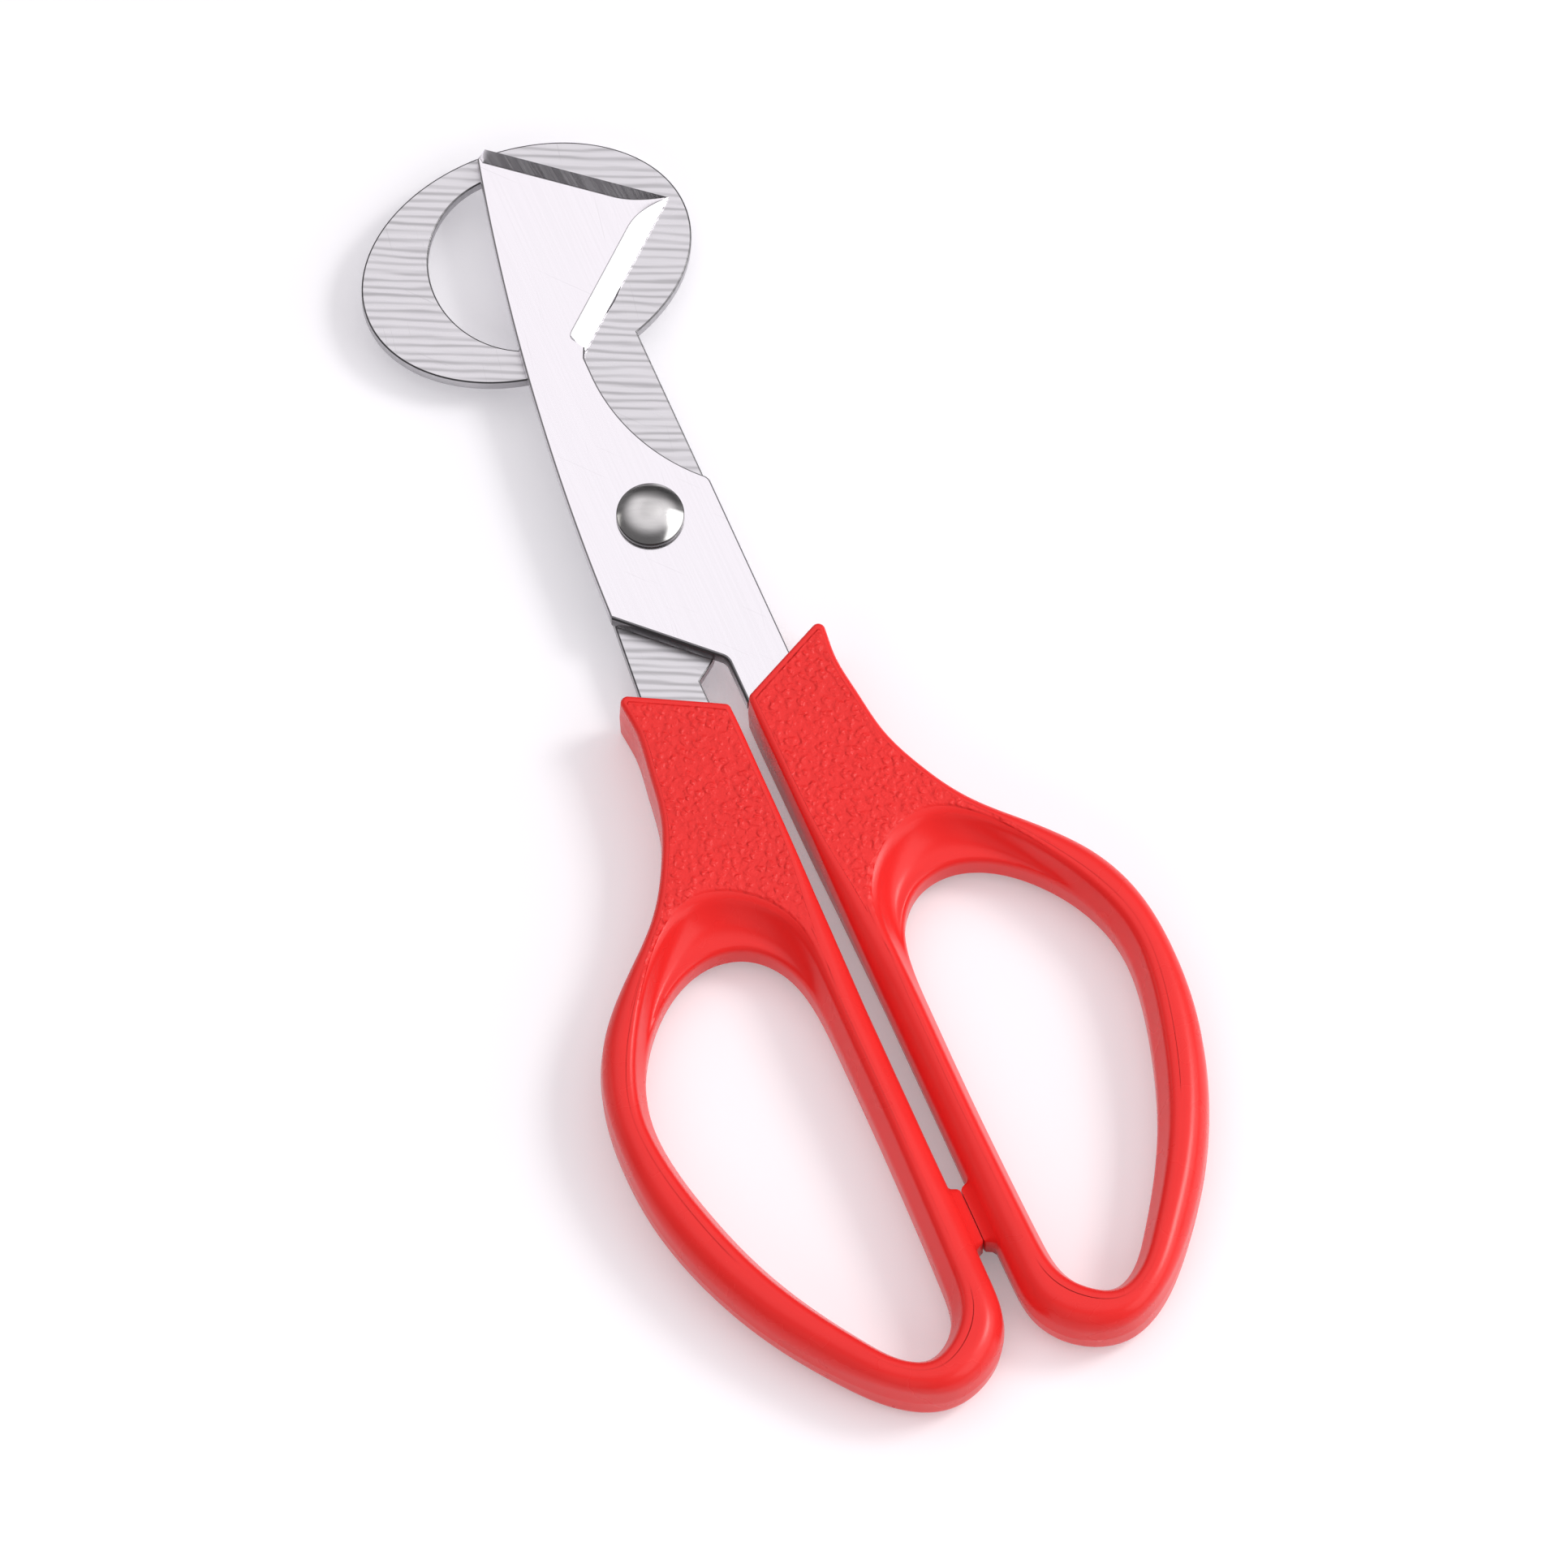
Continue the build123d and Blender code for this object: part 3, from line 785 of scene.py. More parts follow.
def steel(name, rgb, streaks, rough, depth, contrast, patch_size):
    """Steel with brushed streaks in tone, roughness and relief, hair scratches, smudges, plain walls and
    painted shade: dark lines where the mesh marks creases, standing in for dark surroundings mirrored
    there.
    Streaks are the values of the brushing group, depth is the height of their relief and contrast how far
    their tone goes up and down."""
    material, board, shader = new_material(name)
    tone = board.group("brushing", build_brushing, streaks)["Tone"]
    scratches = board.group("hair_scratches", build_scratches, SCRATCHES)["Mask"]
    patch = board.smudges(patch_size)
    side = board.mark("side")
    streaked = board.mix(tone, shade(rgb, 1 - contrast), shade(rgb, 1 + contrast))
    scratch_share = board.maths("MULTIPLY", scratches, SCRATCH_SHARE)
    scratched = board.mix(scratch_share, streaked, shade(rgb, SCRATCH_TONE))
    walled = board.mix(side, scratched, shade(rgb, WALL_TONE))
    # Painted shade: the crease mark darkens the colour towards the crease tone
    crease = board.maths("MULTIPLY", board.mark("crease"), PAINTED_EDGE_SHADE_SHARE)
    board.feed(shader.inputs["Base Color"], board.mix(crease, walled, shade(rgb, PAINTED_EDGE_SHADE_TONE)))
    streak_rough = board.ramp(tone, 0.2, 0.8, rough * DARK_STREAK, rough * BRIGHT_STREAK)
    patched = board.maths("MULTIPLY_ADD", patch, rough * SMUDGE, streak_rough)
    struck = board.maths("MULTIPLY_ADD", board.mark("matte"), MATTE_ROUGHNESS, patched)
    board.feed(shader.inputs["Roughness"], board.maths("MULTIPLY_ADD", side, WALL_ROUGHNESS, struck))
    shader.inputs["Metallic"].default_value = 1.0
    height = board.maths("SUBTRACT", tone, board.maths("MULTIPLY", scratches, SCRATCH_DEPTH))
    board.relief(shader, height, depth)
    return material


def polished_steel(settings):
    """Bright steel of the cutting blade, brushed finely along its length."""
    streaks = {"Turn": radians(90.0), "Pitch": 0.3 * MM, "Length": 30 * MM, "Fine": 0.5}
    finish = {"rough": 0.14, "depth": 0.0006 * MM, "contrast": 0.02, "patch_size": 12 * MM}
    return steel("polished_steel", tuple(settings.polished), streaks, **finish)


def ground_steel(settings):
    """Surface-ground steel of the ring blade, with coarse lines across it."""
    streaks = {"Length": 30 * MM, "Fine": 0.25, "Lines": 0.85}
    streaks.update({"Turn": -settings.line_turn, "Pitch": settings.line_pitch})
    finish = {"rough": 0.30, "depth": 0.012 * MM, "contrast": 0.32, "patch_size": 12 * MM}
    return steel("ground_steel", tuple(settings.ground), streaks, **finish)


def rivet_steel(settings):
    """Turned steel of the rivet and its washer."""
    streaks = {"Turn": 0.4, "Pitch": 0.6 * MM, "Length": 4 * MM, "Fine": 0.5}
    finish = {"rough": 0.16, "depth": 0.001 * MM, "contrast": 0.04, "patch_size": 2 * MM}
    return steel("rivet_steel", tuple(settings.rivet), streaks, **finish)


# Plastic finish: specular level, added roughness, and the scale and strength of ripples and worn edges
PLASTIC_SHINE = 0.30
GRAIN_ROUGHNESS = 0.12
SMUDGE_ROUGHNESS = 0.06
RIPPLE_SCALE, RIPPLE_HEIGHT = 420.0, 0.015
WEAR_SCALE, WEAR_SHARE = 250.0, 0.06
WEAR_RED, WEAR_PALE = 1.04, (0.09, 0.08)
PLASTIC_TONES = (0.97, 1.03)
PLASTIC_PATCH = 14 * MM


def red_plastic(settings):
    """Moulded plastic: glossy and faintly rippled where it is smooth, grained on the necks, a little paler
    on its edges in a broken line."""
    material, board, shader = new_material("red_plastic")
    rgb = tuple(settings.plastic)
    place = board.place()
    grain = board.mark("grain")
    pebbles = board.group("pebble_grain", build_pebbles, {"Size": settings.pebble_size})["Height"]
    patch = board.smudges(PLASTIC_PATCH)
    toned = board.mix(patch, *(shade(rgb, tone) for tone in PLASTIC_TONES))
    broken = board.ramp(board.noise(place, WEAR_SCALE, 3.0), 0.35, 0.6, 0.35, 1.0)
    wear = board.maths("MULTIPLY", board.maths("MULTIPLY", board.mark("edge"), broken), WEAR_SHARE)
    worn = (rgb[0] * WEAR_RED, *WEAR_PALE, 1.0)
    board.feed(shader.inputs["Base Color"], board.mix(wear, toned, worn))
    smooth = board.maths("MULTIPLY_ADD", patch, SMUDGE_ROUGHNESS, settings.gloss - SMUDGE_ROUGHNESS / 2)
    board.feed(shader.inputs["Roughness"], board.maths("MULTIPLY_ADD", grain, GRAIN_ROUGHNESS, smooth))
    shader.inputs["Specular IOR Level"].default_value = PLASTIC_SHINE
    raised = board.maths("MULTIPLY", pebbles, grain)
    height = board.maths("MULTIPLY_ADD", board.noise(place, RIPPLE_SCALE, 2.0), RIPPLE_HEIGHT, raised)
    board.relief(shader, height, settings.pebble_height)
    return material


# Grips

OUTLINE_STEPS = 640           # points along the grip's smooth side
SPLINE_STEP = 0.01            # fineness at which that side is searched for the nose
NEAR_CORNER = 1.5 * MM
WALL_RINGS = 13               # rings of one half of the section, part by part
EDGE_RINGS = 10
BEND_RINGS = 7
SLOPE_RINGS = 11
EDGE_ROOM = 0.8               # share of the flat face that a rounded edge may take up
EDGE_BLUR = 15                # points to each side over which a change of the rounding is spread
WORN_ANGLES = (0.6, 1.1)      # part of the rounded edge that shows wear
FACE_BORDER = 0.25 * MM       # strip of the flat face before the crest
BROAD_SCOOP = (1.6 * MM, 4.5 * MM)
BEND_GRAIN = 0.4              # share of the crest that the grain still covers
MARGIN_LIMIT, BORDER_LIMIT, BEND_LIMIT = 0.3, 0.15, 0.4   # most of the face or slope that each may take
CORNER_STEPS = (13, 17)       # points of the nose's inner and outer corner
NOSE_STEPS = 40
NOSE_LEAD = (2, 3)            # points of those corners that still count as the sides


def to_tool(shares):
    """Points in tool coordinates from shares of the grip's reach and length."""
    return np.array(shares) * [GRIP_REACH, -GRIP_LENGTH] - [0, NOSE_DROP]


def grip_outline(settings):
    """Right-hand grip's outline, clockwise from the nose's outer corner: the smooth outer side, round the
    loop and up the straight leg, then the slanted nose with softened corners. Also tells which points lie
    on the nose."""
    side = to_tool(OUTER_SHARES)
    end_height = NOSE_END - NOSE_DROP
    half_nose = (NOSE_OUTER - NOSE_INNER) / 2
    steps = np.arange(1, LEG_STEPS + 1)[:, None] / LEG_STEPS
    leg = side[-1] + (np.array([NOSE_INNER, end_height]) - side[-1]) * steps
    round_end = [(NOSE_INNER + half_nose, end_height + half_nose), (NOSE_OUTER, end_height)]
    points = np.concatenate([side, leg, round_end])
    dense = closed_spline(points, np.arange(0, len(points), SPLINE_STEP))
    below = dense[:, 1] < nose_height(dense[:, 0])
    first = np.flatnonzero(~below).max() + 1
    kept = np.roll(dense, -first, 0)[: below.sum()]
    radius = settings.nose_corner
    inner, outer = kept[-1], kept[0]
    total = run_length(kept)[-1]
    near_ends = along(kept, np.array([NEAR_CORNER, total - NEAR_CORNER]))
    start = corner_reach(inner, outer, near_ends[0], radius)[3]
    end = corner_reach(near_ends[1], inner, outer, radius)[3]
    body = along(kept, np.linspace(start, total - end, OUTLINE_STEPS))
    inner_bend = soft_corner(body[-1], inner, outer, radius, CORNER_STEPS[0])
    outer_bend = soft_corner(inner, outer, body[0], radius, CORNER_STEPS[1])
    nose = straight(inner_bend[-1], outer_bend[0], NOSE_STEPS)
    outline = np.concatenate([body, inner_bend[1:-1], nose, outer_bend[:-1]])
    number = np.arange(len(outline))
    on_nose = (number >= len(body) + NOSE_LEAD[0]) & (number < len(outline) - NOSE_LEAD[1])
    return outline, on_nose


def facing_hole(outline):
    """Index along the finger hole that each point of the outline faces, even between the listed pairs."""
    run = run_length(outline)
    places, indexes = [], []
    for share, index in FACING_SHARES:
        nearest = lengths(outline - to_tool(share)).argmin()
        places.append(run[nearest] if places else 0.0)
        indexes.append(index)
    whole = run[-1] + np.linalg.norm(outline[0] - outline[-1])
    return np.interp(run, places + [whole], indexes + [indexes[0] + len(HOLE_SHARES)])


def section_half(settings, outline, on_nose, hole, scoop, depth):
    """One half of the grip's section, from its middle height outside, over the face, to the finger hole's
    wall. It is a wall, an edge rounded as a quarter of an ellipse, a flat face, a softened crest, the
    slope of the scoop and a softened lip. Gives each ring's places, heights over the middle, grain mark
    and wear mark."""
    height = (GRIP_LEVELS[1] - GRIP_LEVELS[0]) / 2
    ahead = np.roll(outline, -1, 0) - np.roll(outline, 1, 0)
    ahead = ahead / lengths(ahead)[:, None]
    inward = np.column_stack([ahead[:, 1], -ahead[:, 0]])
    loopward = smooth_step(-outline[:, 1] - NOSE_DROP, *LOOP_SPAN)
    away = scoop - hole
    width = lengths(away)
    away = away / width[:, None]
    crest = settings.neck_crest + (settings.loop_crest - settings.neck_crest) * loopward
    crest_start = scoop + away * np.minimum(crest, width)[:, None]
    room = lengths(crest_start - outline) * EDGE_ROOM
    rings = []

    def edge_size(on_loop):
        size = settings.neck_edge + (on_loop - settings.neck_edge) * loopward
        size = np.minimum(np.where(on_nose, settings.nose_edge, size), room)
        wrapped = np.concatenate([size[-EDGE_BLUR:], size, size[:EDGE_BLUR]])
        window = 2 * EDGE_BLUR + 1
        return np.convolve(wrapped, np.ones(window) / window, "valid")

    def ring(place, level, grained=0.0, worn=0.0):
        marks = [np.broadcast_to(values, len(outline)) for values in (level, grained, worn)]
        rings.append(np.column_stack([place, *marks]))

    def on_slope(share):
        return scoop - away * (width * share)[:, None]

    inset = edge_size(settings.loop_edge)
    drop = edge_size(settings.loop_edge_drop)
    for share in np.linspace(0, 1, WALL_RINGS):
        ring(outline + inward * (settings.draft * share), (height - drop) * share)
    for angle in np.linspace(0, np.pi / 2, EDGE_RINGS)[1:]:
        moved = settings.draft + inset * (1 - cos(angle))
        worn = float(WORN_ANGLES[0] < angle < WORN_ANGLES[1])
        ring(outline + inward * moved[:, None], height - drop * (1 - sin(angle)), 0.0, worn)
    face_start = outline + inward * (settings.draft + inset)[:, None]
    face_width = lengths(crest_start - face_start)
    near = np.minimum(settings.grain_margin / face_width, MARGIN_LIMIT)[:, None]
    close = np.minimum(FACE_BORDER / face_width, BORDER_LIMIT)[:, None]
    inner_shares = [near + (1 - near) * part for part in (0.25, 0.5, 0.75)]
    for number, share in enumerate([near * 0.6, near, *inner_shares, 1 - close * 1.6, 1 - close]):
        ring(face_start * (1 - share) + crest_start * share, height, float(number > 0))
    slope_length = np.hypot(width, depth)
    after_crest = np.minimum(crest / slope_length, BEND_LIMIT)
    for t in np.linspace(0, 1, BEND_RINGS):
        place = bend_between(crest_start, scoop, on_slope(after_crest), t)
        ring(place, height - depth * after_crest * t**2, float(t < BEND_GRAIN))
    before_lip = 1 - np.minimum(settings.lip_round / slope_length, BEND_LIMIT)
    broad = smooth_step(width, *BROAD_SCOOP)
    for t in np.linspace(0, 1, SLOPE_RINGS)[1:-1]:
        share = after_crest + (before_lip - after_crest) * t
        sag = settings.scoop_sag * broad * 4 * t * (1 - t)
        ring(on_slope(share), height - depth * share - sag)
    lip = height - depth
    lip_end = max(lip - settings.lip_round, 0.0)
    for t in np.linspace(0, 1, BEND_RINGS):
        level = bend_between(height - depth * before_lip, lip, lip_end, t)
        ring(on_slope(bend_between(before_lip, 1, 1, t)), level)
    rings = np.array(rings)
    rings[:WALL_RINGS, :, 0] = with_stop_rib(rings[:WALL_RINGS])
    return rings


def with_stop_rib(wall):
    """Distances of the wall's points from the middle line, with those on the stop rib pushed out to the
    stop. The rib is a soft-edged block: one smooth step along the leg times one in height."""
    along_leg = np.abs(-wall[..., 1] - RIB_DROP)
    up = np.abs(wall[..., 2])
    half_length, half_height = RIB_LENGTH / 2, RIB_HEIGHT / 2
    in_length = 1 - smooth_step(along_leg, half_length - RIB_SOFTNESS, half_length + RIB_SOFTNESS / 2)
    in_height = 1 - smooth_step(up, half_height - RIB_SOFTNESS * 2, half_height + RIB_SOFTNESS / 2)
    share = np.where(wall[..., 0] < GRIP_REACH / 4, in_length * in_height, 0.0)
    return wall[..., 0] + share * (STOP_GAP - wall[..., 0])


def grip_rings(settings):
    """Rings of the right-hand grip round its section, as x, y, z, grain mark and wear mark. The upper half
    has the deep scoop and the lower half a shallow one."""
    outline, on_nose = grip_outline(settings)
    index = facing_hole(outline) % len(HOLE_SHARES)
    hole = closed_spline(to_tool(HOLE_SHARES), index)
    scoop = closed_spline(to_tool(SCOOP_SHARES), index)
    upper, lower = (
        section_half(settings, outline, on_nose, hole, scoop, depth)
        for depth in (settings.scoop_depth, settings.back_depth)
    )
    lower[..., 2] *= -1
    rings = np.concatenate([upper, lower[:0:-1]])
    rings[..., 2] += sum(GRIP_LEVELS) / 2
    rings[..., 3] *= 1 - smooth_step(-rings[..., 1] - NOSE_DROP, *GRAIN_SPAN)
    return rings


def make_grip(name, node, body, mirrored, material, settings):
    """One grip as a closed grid: round the loop one way, round the section the other way."""
    rings = grip_rings(settings)
    rows, columns = rings.shape[:2]
    points = rings.reshape(rows * columns, -1)
    vertices = points[:, :3] * ([-1, 1, 1] if mirrored else 1)
    faces = grid_faces(rows + 1, columns, mirrored) % (rows * columns)
    marks = {"grain": points[:, 3], "edge": points[:, 4]}
    new_piece(name, vertices, faces, material, body, "red_plastic", node, crease=60.0, marks=marks)


# Blades


def oval_crossing(start, end):
    """Where the line from start to end first meets the ring blade's oval: the lesser root of the
    squared distance from its middle, in shares of its half sizes, set to one."""
    origin = (np.asarray(start) - RING_MIDDLE) / RING_HALF_SIZE
    step = (np.asarray(end) - np.asarray(start)) / RING_HALF_SIZE
    a, b, c = step @ step, origin @ step, origin @ origin - 1
    share = (-b - np.sqrt(b * b - a * c)) / a
    return np.asarray(start) + share * (np.asarray(end) - np.asarray(start))


def ring_outline():
    """Ring blade's outline, counter-clockwise: round the oval, down the left side, round the tang and up
    the right side."""
    right = oval_crossing((RING_SHANK_RIGHT, 0), (RING_SHANK_RIGHT, RING_NECK[1]))
    left = oval_crossing(RING_HEEL, RING_NECK)
    ends = [(point - RING_MIDDLE) / RING_HALF_SIZE for point in (right, left)]
    start, end = (np.arctan2(y, x) for x, y in ends)
    angle = np.linspace(start, end + tau, OVAL_STEPS)
    oval = RING_MIDDLE + RING_HALF_SIZE * np.column_stack([np.cos(angle), np.sin(angle)])
    tang_left, tang_right = RING_TANG
    nose = (tang_left, nose_height(-tang_left))
    foot_left, foot_right = (tang_left, TANG_END), (tang_right, TANG_END)
    notch = (tang_right, -RING_NOTCH_DROP)
    shank = (RING_SHANK_RIGHT, RING_HEEL[1])
    return np.concatenate([
        oval,
        [RING_HEEL, nose],
        soft_corner(nose, foot_left, foot_right, TANG_CORNER),
        soft_corner(foot_left, foot_right, notch, TANG_CORNER),
        [notch, RING_TOE, shank],
    ])


def make_ring_blade(settings):
    """Flat ring blade with broken edges, egg hole, rivet hole and lock holes."""
    loop = ring_outline()
    width = np.full(len(loop), settings.edge_break)
    edges = [
        plate_rings(loop, RING_LEVELS, width, width, width),
        plain_hole(EGG_HOLE_MIDDLE, EGG_HOLE_RADIUS, RING_LEVELS, settings.edge_break, EGG_HOLE_STEPS),
        plain_hole((0, 0), RIVET_RADIUS, RING_LEVELS, settings.edge_break / 2, RIVET_HOLE_STEPS),
        *lock_holes(*RING_TANG, RING_LEVELS, settings.edge_break),
    ]
    material = ground_steel(settings)
    new_plate("ring_plate", edges, material, RING_BODY, "ground_steel", "ring_blade", crease=28.0)


def blade_outline(settings):
    """Cutting blade's outline, counter-clockwise from the heel, as (points, edge width, edge drop, slope,
    inner, inner drop). Inner is the upper face's outline. On the two ground bevels it lies a bevel's width
    inside the edge and narrows to nothing at the tip, coming down along the flat bevel as it does;
    elsewhere it lies the width of the edge's own small rounding inside."""
    tang_nose = (TOE[0], nose_height(TOE[0]))
    tang_top = (CUTTING_TANG_LEFT, nose_height(CUTTING_TANG_LEFT))
    foot_left, foot_right = (CUTTING_TANG_LEFT, TANG_END), (SHANK_RIGHT, TANG_END)
    pieces, widths, drops, slopes = [], [], [], []

    def lay(points, width=settings.edge_break, drop=None, slope=False):
        points = np.atleast_2d(np.asarray(points, float))
        pieces.append(points)
        widths.append(np.broadcast_to(width, len(points)).astype(float))
        drops.append(np.broadcast_to(width if drop is None else drop, len(points)).astype(float))
        slopes.append(np.full(len(points), slope))

    lay(straight(HEEL, TOE, 2), settings.bolster_break)
    lay(soft_corner(HEEL, TOE, tang_nose, CORNER_ROUND), settings.bolster_break)
    lay([tang_nose, tang_top])
    lay(soft_corner(tang_top, foot_left, foot_right, TANG_CORNER))
    lay(soft_corner(foot_left, foot_right, SHOULDER, TANG_CORNER))
    arc = bowed(SHOULDER, WAIST, -WAIST_HOLLOW, WAIST_STEPS)[SHOULDER_STEPS:]
    lay(soft_corner(foot_right, SHOULDER, arc[0], CORNER_ROUND))
    lay(arc)
    lay([WAIST, NOTCH])
    edge_at = sum(map(len, pieces))
    tail_at = edge_at + EDGE_FAN
    tip_at = tail_at + BEVEL_STEPS - 2
    crown_at = tip_at + BEVEL_STEPS - 1
    share = np.linspace(0, 1, BEVEL_STEPS)
    between = share[1:-1]
    edge_ahead, crown_ahead = np.subtract(TIP, EDGE_START), np.subtract(CROWN, TIP)
    edge_run, crown_run = np.linalg.norm(edge_ahead), np.linalg.norm(crown_ahead)
    narrowing = np.sin(np.clip((1 - between) * edge_run / settings.bevel_taper, 0, 1) * np.pi / 2)
    widening = np.sin(np.clip(share * crown_run / settings.bevel_taper, 0, 1) * np.pi / 2)
    lay([EDGE_START] * EDGE_FAN)
    points = np.outer(1 - between, EDGE_START) + np.outer(between, TIP)
    lay(points, settings.edge_bevel * narrowing, settings.bevel_drop, True)
    points = np.outer(1 - share, TIP) + np.outer(share, CROWN)
    lay(points, settings.crown_bevel * widening + BEVEL_TIP, settings.bevel_drop, True)
    lay(bowed(CROWN_END, HEEL, BACK_BULGE, BACK_STEPS))
    loop = np.concatenate(pieces)
    width, drop, slope = (np.concatenate(values) for values in (widths, drops, slopes))

    edge_ahead, crown_ahead = edge_ahead / edge_run, crown_ahead / crown_run
    edge_in, crown_in = (np.array([-y, x]) for x, y in (edge_ahead, crown_ahead))
    even_moves = inset_steps(loop, np.full(len(loop), settings.edge_break))
    moves = inset_steps(loop, width)
    moves[edge_at] = even_moves[edge_at]
    fan = slice(edge_at + 1, tail_at)
    corner = edge_in * settings.edge_bevel + edge_ahead * FAN_LEAN
    fan_share = np.linspace(0, 1, EDGE_FAN - 1)[:, None]
    moves[fan] = bend_between(corner * FAN_FOOT, corner, corner + edge_ahead * FAN_RUN, fan_share)
    slope[fan] = True
    drop[fan] = settings.bevel_drop
    run = between * edge_run
    run_on = np.clip(run, FAN_END, None) - run
    moves[tail_at:tip_at] = np.outer(width[tail_at:tip_at], edge_in) + np.outer(run_on, edge_ahead)
    moves[tip_at] = even_moves[tip_at] / TIP_SHARPNESS
    moves[tip_at + 1:crown_at] = np.outer(width[tip_at + 1:crown_at], crown_in)
    moves[crown_at + 1] = even_moves[crown_at + 1]
    crown_corner = loop[crown_at + 1] + moves[crown_at + 1] - crown_ahead * FAN_LEAN
    moves[crown_at] = crown_corner - loop[crown_at]
    inner_drop = np.zeros(len(loop))
    inner_drop[tail_at:tip_at] = settings.bevel_drop * (1 - narrowing)
    inner_drop[tip_at:crown_at + 1] = settings.bevel_drop * (1 - widening)
    return loop, width, drop, slope, loop + moves, inner_drop


def make_cutting_blade(settings):
    """Pointed cutting blade with two ground bevels, a softened slanted bolster with painted shade on its
    wall, and its tang.
    """
    loop, width, drop, slope, inner, inner_drop = blade_outline(settings)
    low_width = np.full(len(loop), settings.edge_break / 2)
    # Painted shade: the slanted bolster's wall is coloured dark, for the shaded tang mirrored in it
    dark = np.where(width == settings.bolster_break, 1.0, 0.0)
    bore = RIVET_RADIUS + RIVET_PLAY
    edges = [
        plate_rings(loop, BLADE_LEVELS, width, drop, low_width, slope, inner, inner_drop, dark),
        plain_hole((0, 0), bore, BLADE_LEVELS, settings.edge_break / 2, RIVET_HOLE_STEPS),
        *lock_holes(CUTTING_TANG_LEFT, SHANK_RIGHT, BLADE_LEVELS, settings.edge_break),
    ]
    material = polished_steel(settings)
    names = ("polished_steel", "cutting_blade")
    new_plate("pointed_blade", edges, material, CUTTING_BODY, *names, crease=24.0)


# Rivet and washer


def spun(profile, count):
    """Rings of a profile of (radius, height) points turned about the rivet's axis."""
    profile = np.asarray(profile, float)
    angle = np.arange(count) / count * tau
    ring = np.column_stack([np.cos(angle), np.sin(angle)])
    return np.dstack([profile[:, :1, None] * ring, np.repeat(profile[:, 1:], count, 1)[..., None]])


def turned_solid(profile, count):
    """A profile turned about the rivet's axis and closed by a point at each end."""
    last = (len(profile) - 1) * count
    turn = np.arange(count)
    beside = (turn + 1) % count
    first_end = len(profile) * count
    upper = np.column_stack([np.full(count, first_end), turn, beside])
    lower = np.column_stack([np.full(count, first_end + 1), beside + last, turn + last])
    faces = grid_faces(len(profile), count, False).tolist() + upper.tolist() + lower.tolist()
    ends = [(0, 0, profile[0, 1]), (0, 0, profile[-1, 1])]
    return np.concatenate([spun(profile, count).reshape(-1, 3), ends]), faces


def round_cap(radius, base, top, share):
    """Points of a spherical cap at shares of its radius. Its height over the base follows from the sphere
    that passes through the rim and the top."""
    rise = top - base
    sphere = (radius**2 + rise**2) / (2 * abs(rise))
    height = np.sqrt(sphere**2 - (radius * share) ** 2) - (sphere - abs(rise))
    return np.hstack([radius * share, base + np.sign(rise) * height])


def rivet_profile():
    """Half outline of the rivet from the top of its head to the end of its tail: a round dome, a rim with
    a softened edge, the shank and a flatter round tail."""
    low, high = RIVET_LEVELS
    washer_low = WASHER_LEVELS[0]
    seat = BLADE_LEVELS[1] + RIVET_PLAY
    rim_top = seat + RIVET_RIM
    dome = round_cap(RIVET_HEAD, rim_top, high, DOME_SHARES)
    rim, shank = (RIVET_HEAD, seat), (RIVET_RADIUS, seat)
    edge = soft_corner(dome[-2], dome[-1], rim, RIM_SOFTNESS, 6)
    foot = soft_corner((RIVET_HEAD, rim_top), rim, shank, FOOT_SOFTNESS, 5)
    tail = round_cap(RIVET_TAIL, washer_low, low, DOME_SHARES[::-2])
    return np.concatenate([dome[:-1], edge, foot, [shank, (RIVET_RADIUS, washer_low)], tail])


def make_rivet(material):
    """Domed rivet with a struck, matt middle and a painted dark rim, standing in for dark surroundings
    mirrored there.
    """
    vertices, faces = turned_solid(rivet_profile(), RIVET_TURN_STEPS)
    radius = np.hypot(vertices[:, 0], vertices[:, 1])
    # Painted shade: the rim of the head is coloured dark through the crease mark
    painted_dark_rim = (radius > PAINTED_SHADE_RIM_START) & (vertices[:, 2] > RING_LEVELS[1])
    marks = {"matte": 1 - smooth_step(radius, *MATTE_SPAN), "crease": painted_dark_rim}
    names = ("rivet_steel", "pivot_rivet")
    new_piece("domed_rivet", vertices, faces, material, RING_BODY, *names, crease=50.0, marks=marks)


def make_washer(material):
    """Flat washer with softened edges: rings round its section, closed on themselves."""
    low, high = WASHER_LEVELS
    left, right = (corner.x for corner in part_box("rivet_washer"))
    inner, outer = RIVET_RADIUS + WASHER_PLAY, (right - left) / 2
    corners = [(outer, low), (outer, high), (inner, high), (inner, low)]
    triples = zip(np.roll(corners, 1, 0), corners, np.roll(corners, -1, 0))
    section = np.concatenate([soft_corner(*triple, WASHER_SOFTNESS, 5) for triple in triples])
    rings = spun(section, WASHER_TURN_STEPS)
    rows, columns = rings.shape[:2]
    faces = grid_faces(rows + 1, columns, True) % (rows * columns)
    points = rings.reshape(-1, 3)
    names = ("rivet_steel", "rivet_washer")
    new_piece("back_washer", points, faces, material, RING_BODY, *names, crease=40.0, marks={})


# Stage

FLOOR_REACH = 4.0
FLOOR_STEPS = 8
FLOOR_TONES = (0.995, 1.0)
FLOOR_PATCH = 50 * MM
CEILING_SPAN = (0.55, 0.90)             # cosines at which the bright ceiling ends and is full
DARK_SIDE = Vector((0.53, 0.84, 0.11))  # direction that the crown's bevel mirrors to the camera
DARK_SPAN = (0.72, 0.95)
DARK_SHARE = 0.3
ROOM_TINT = (1.0, 0.975, 1.0, 1.0)


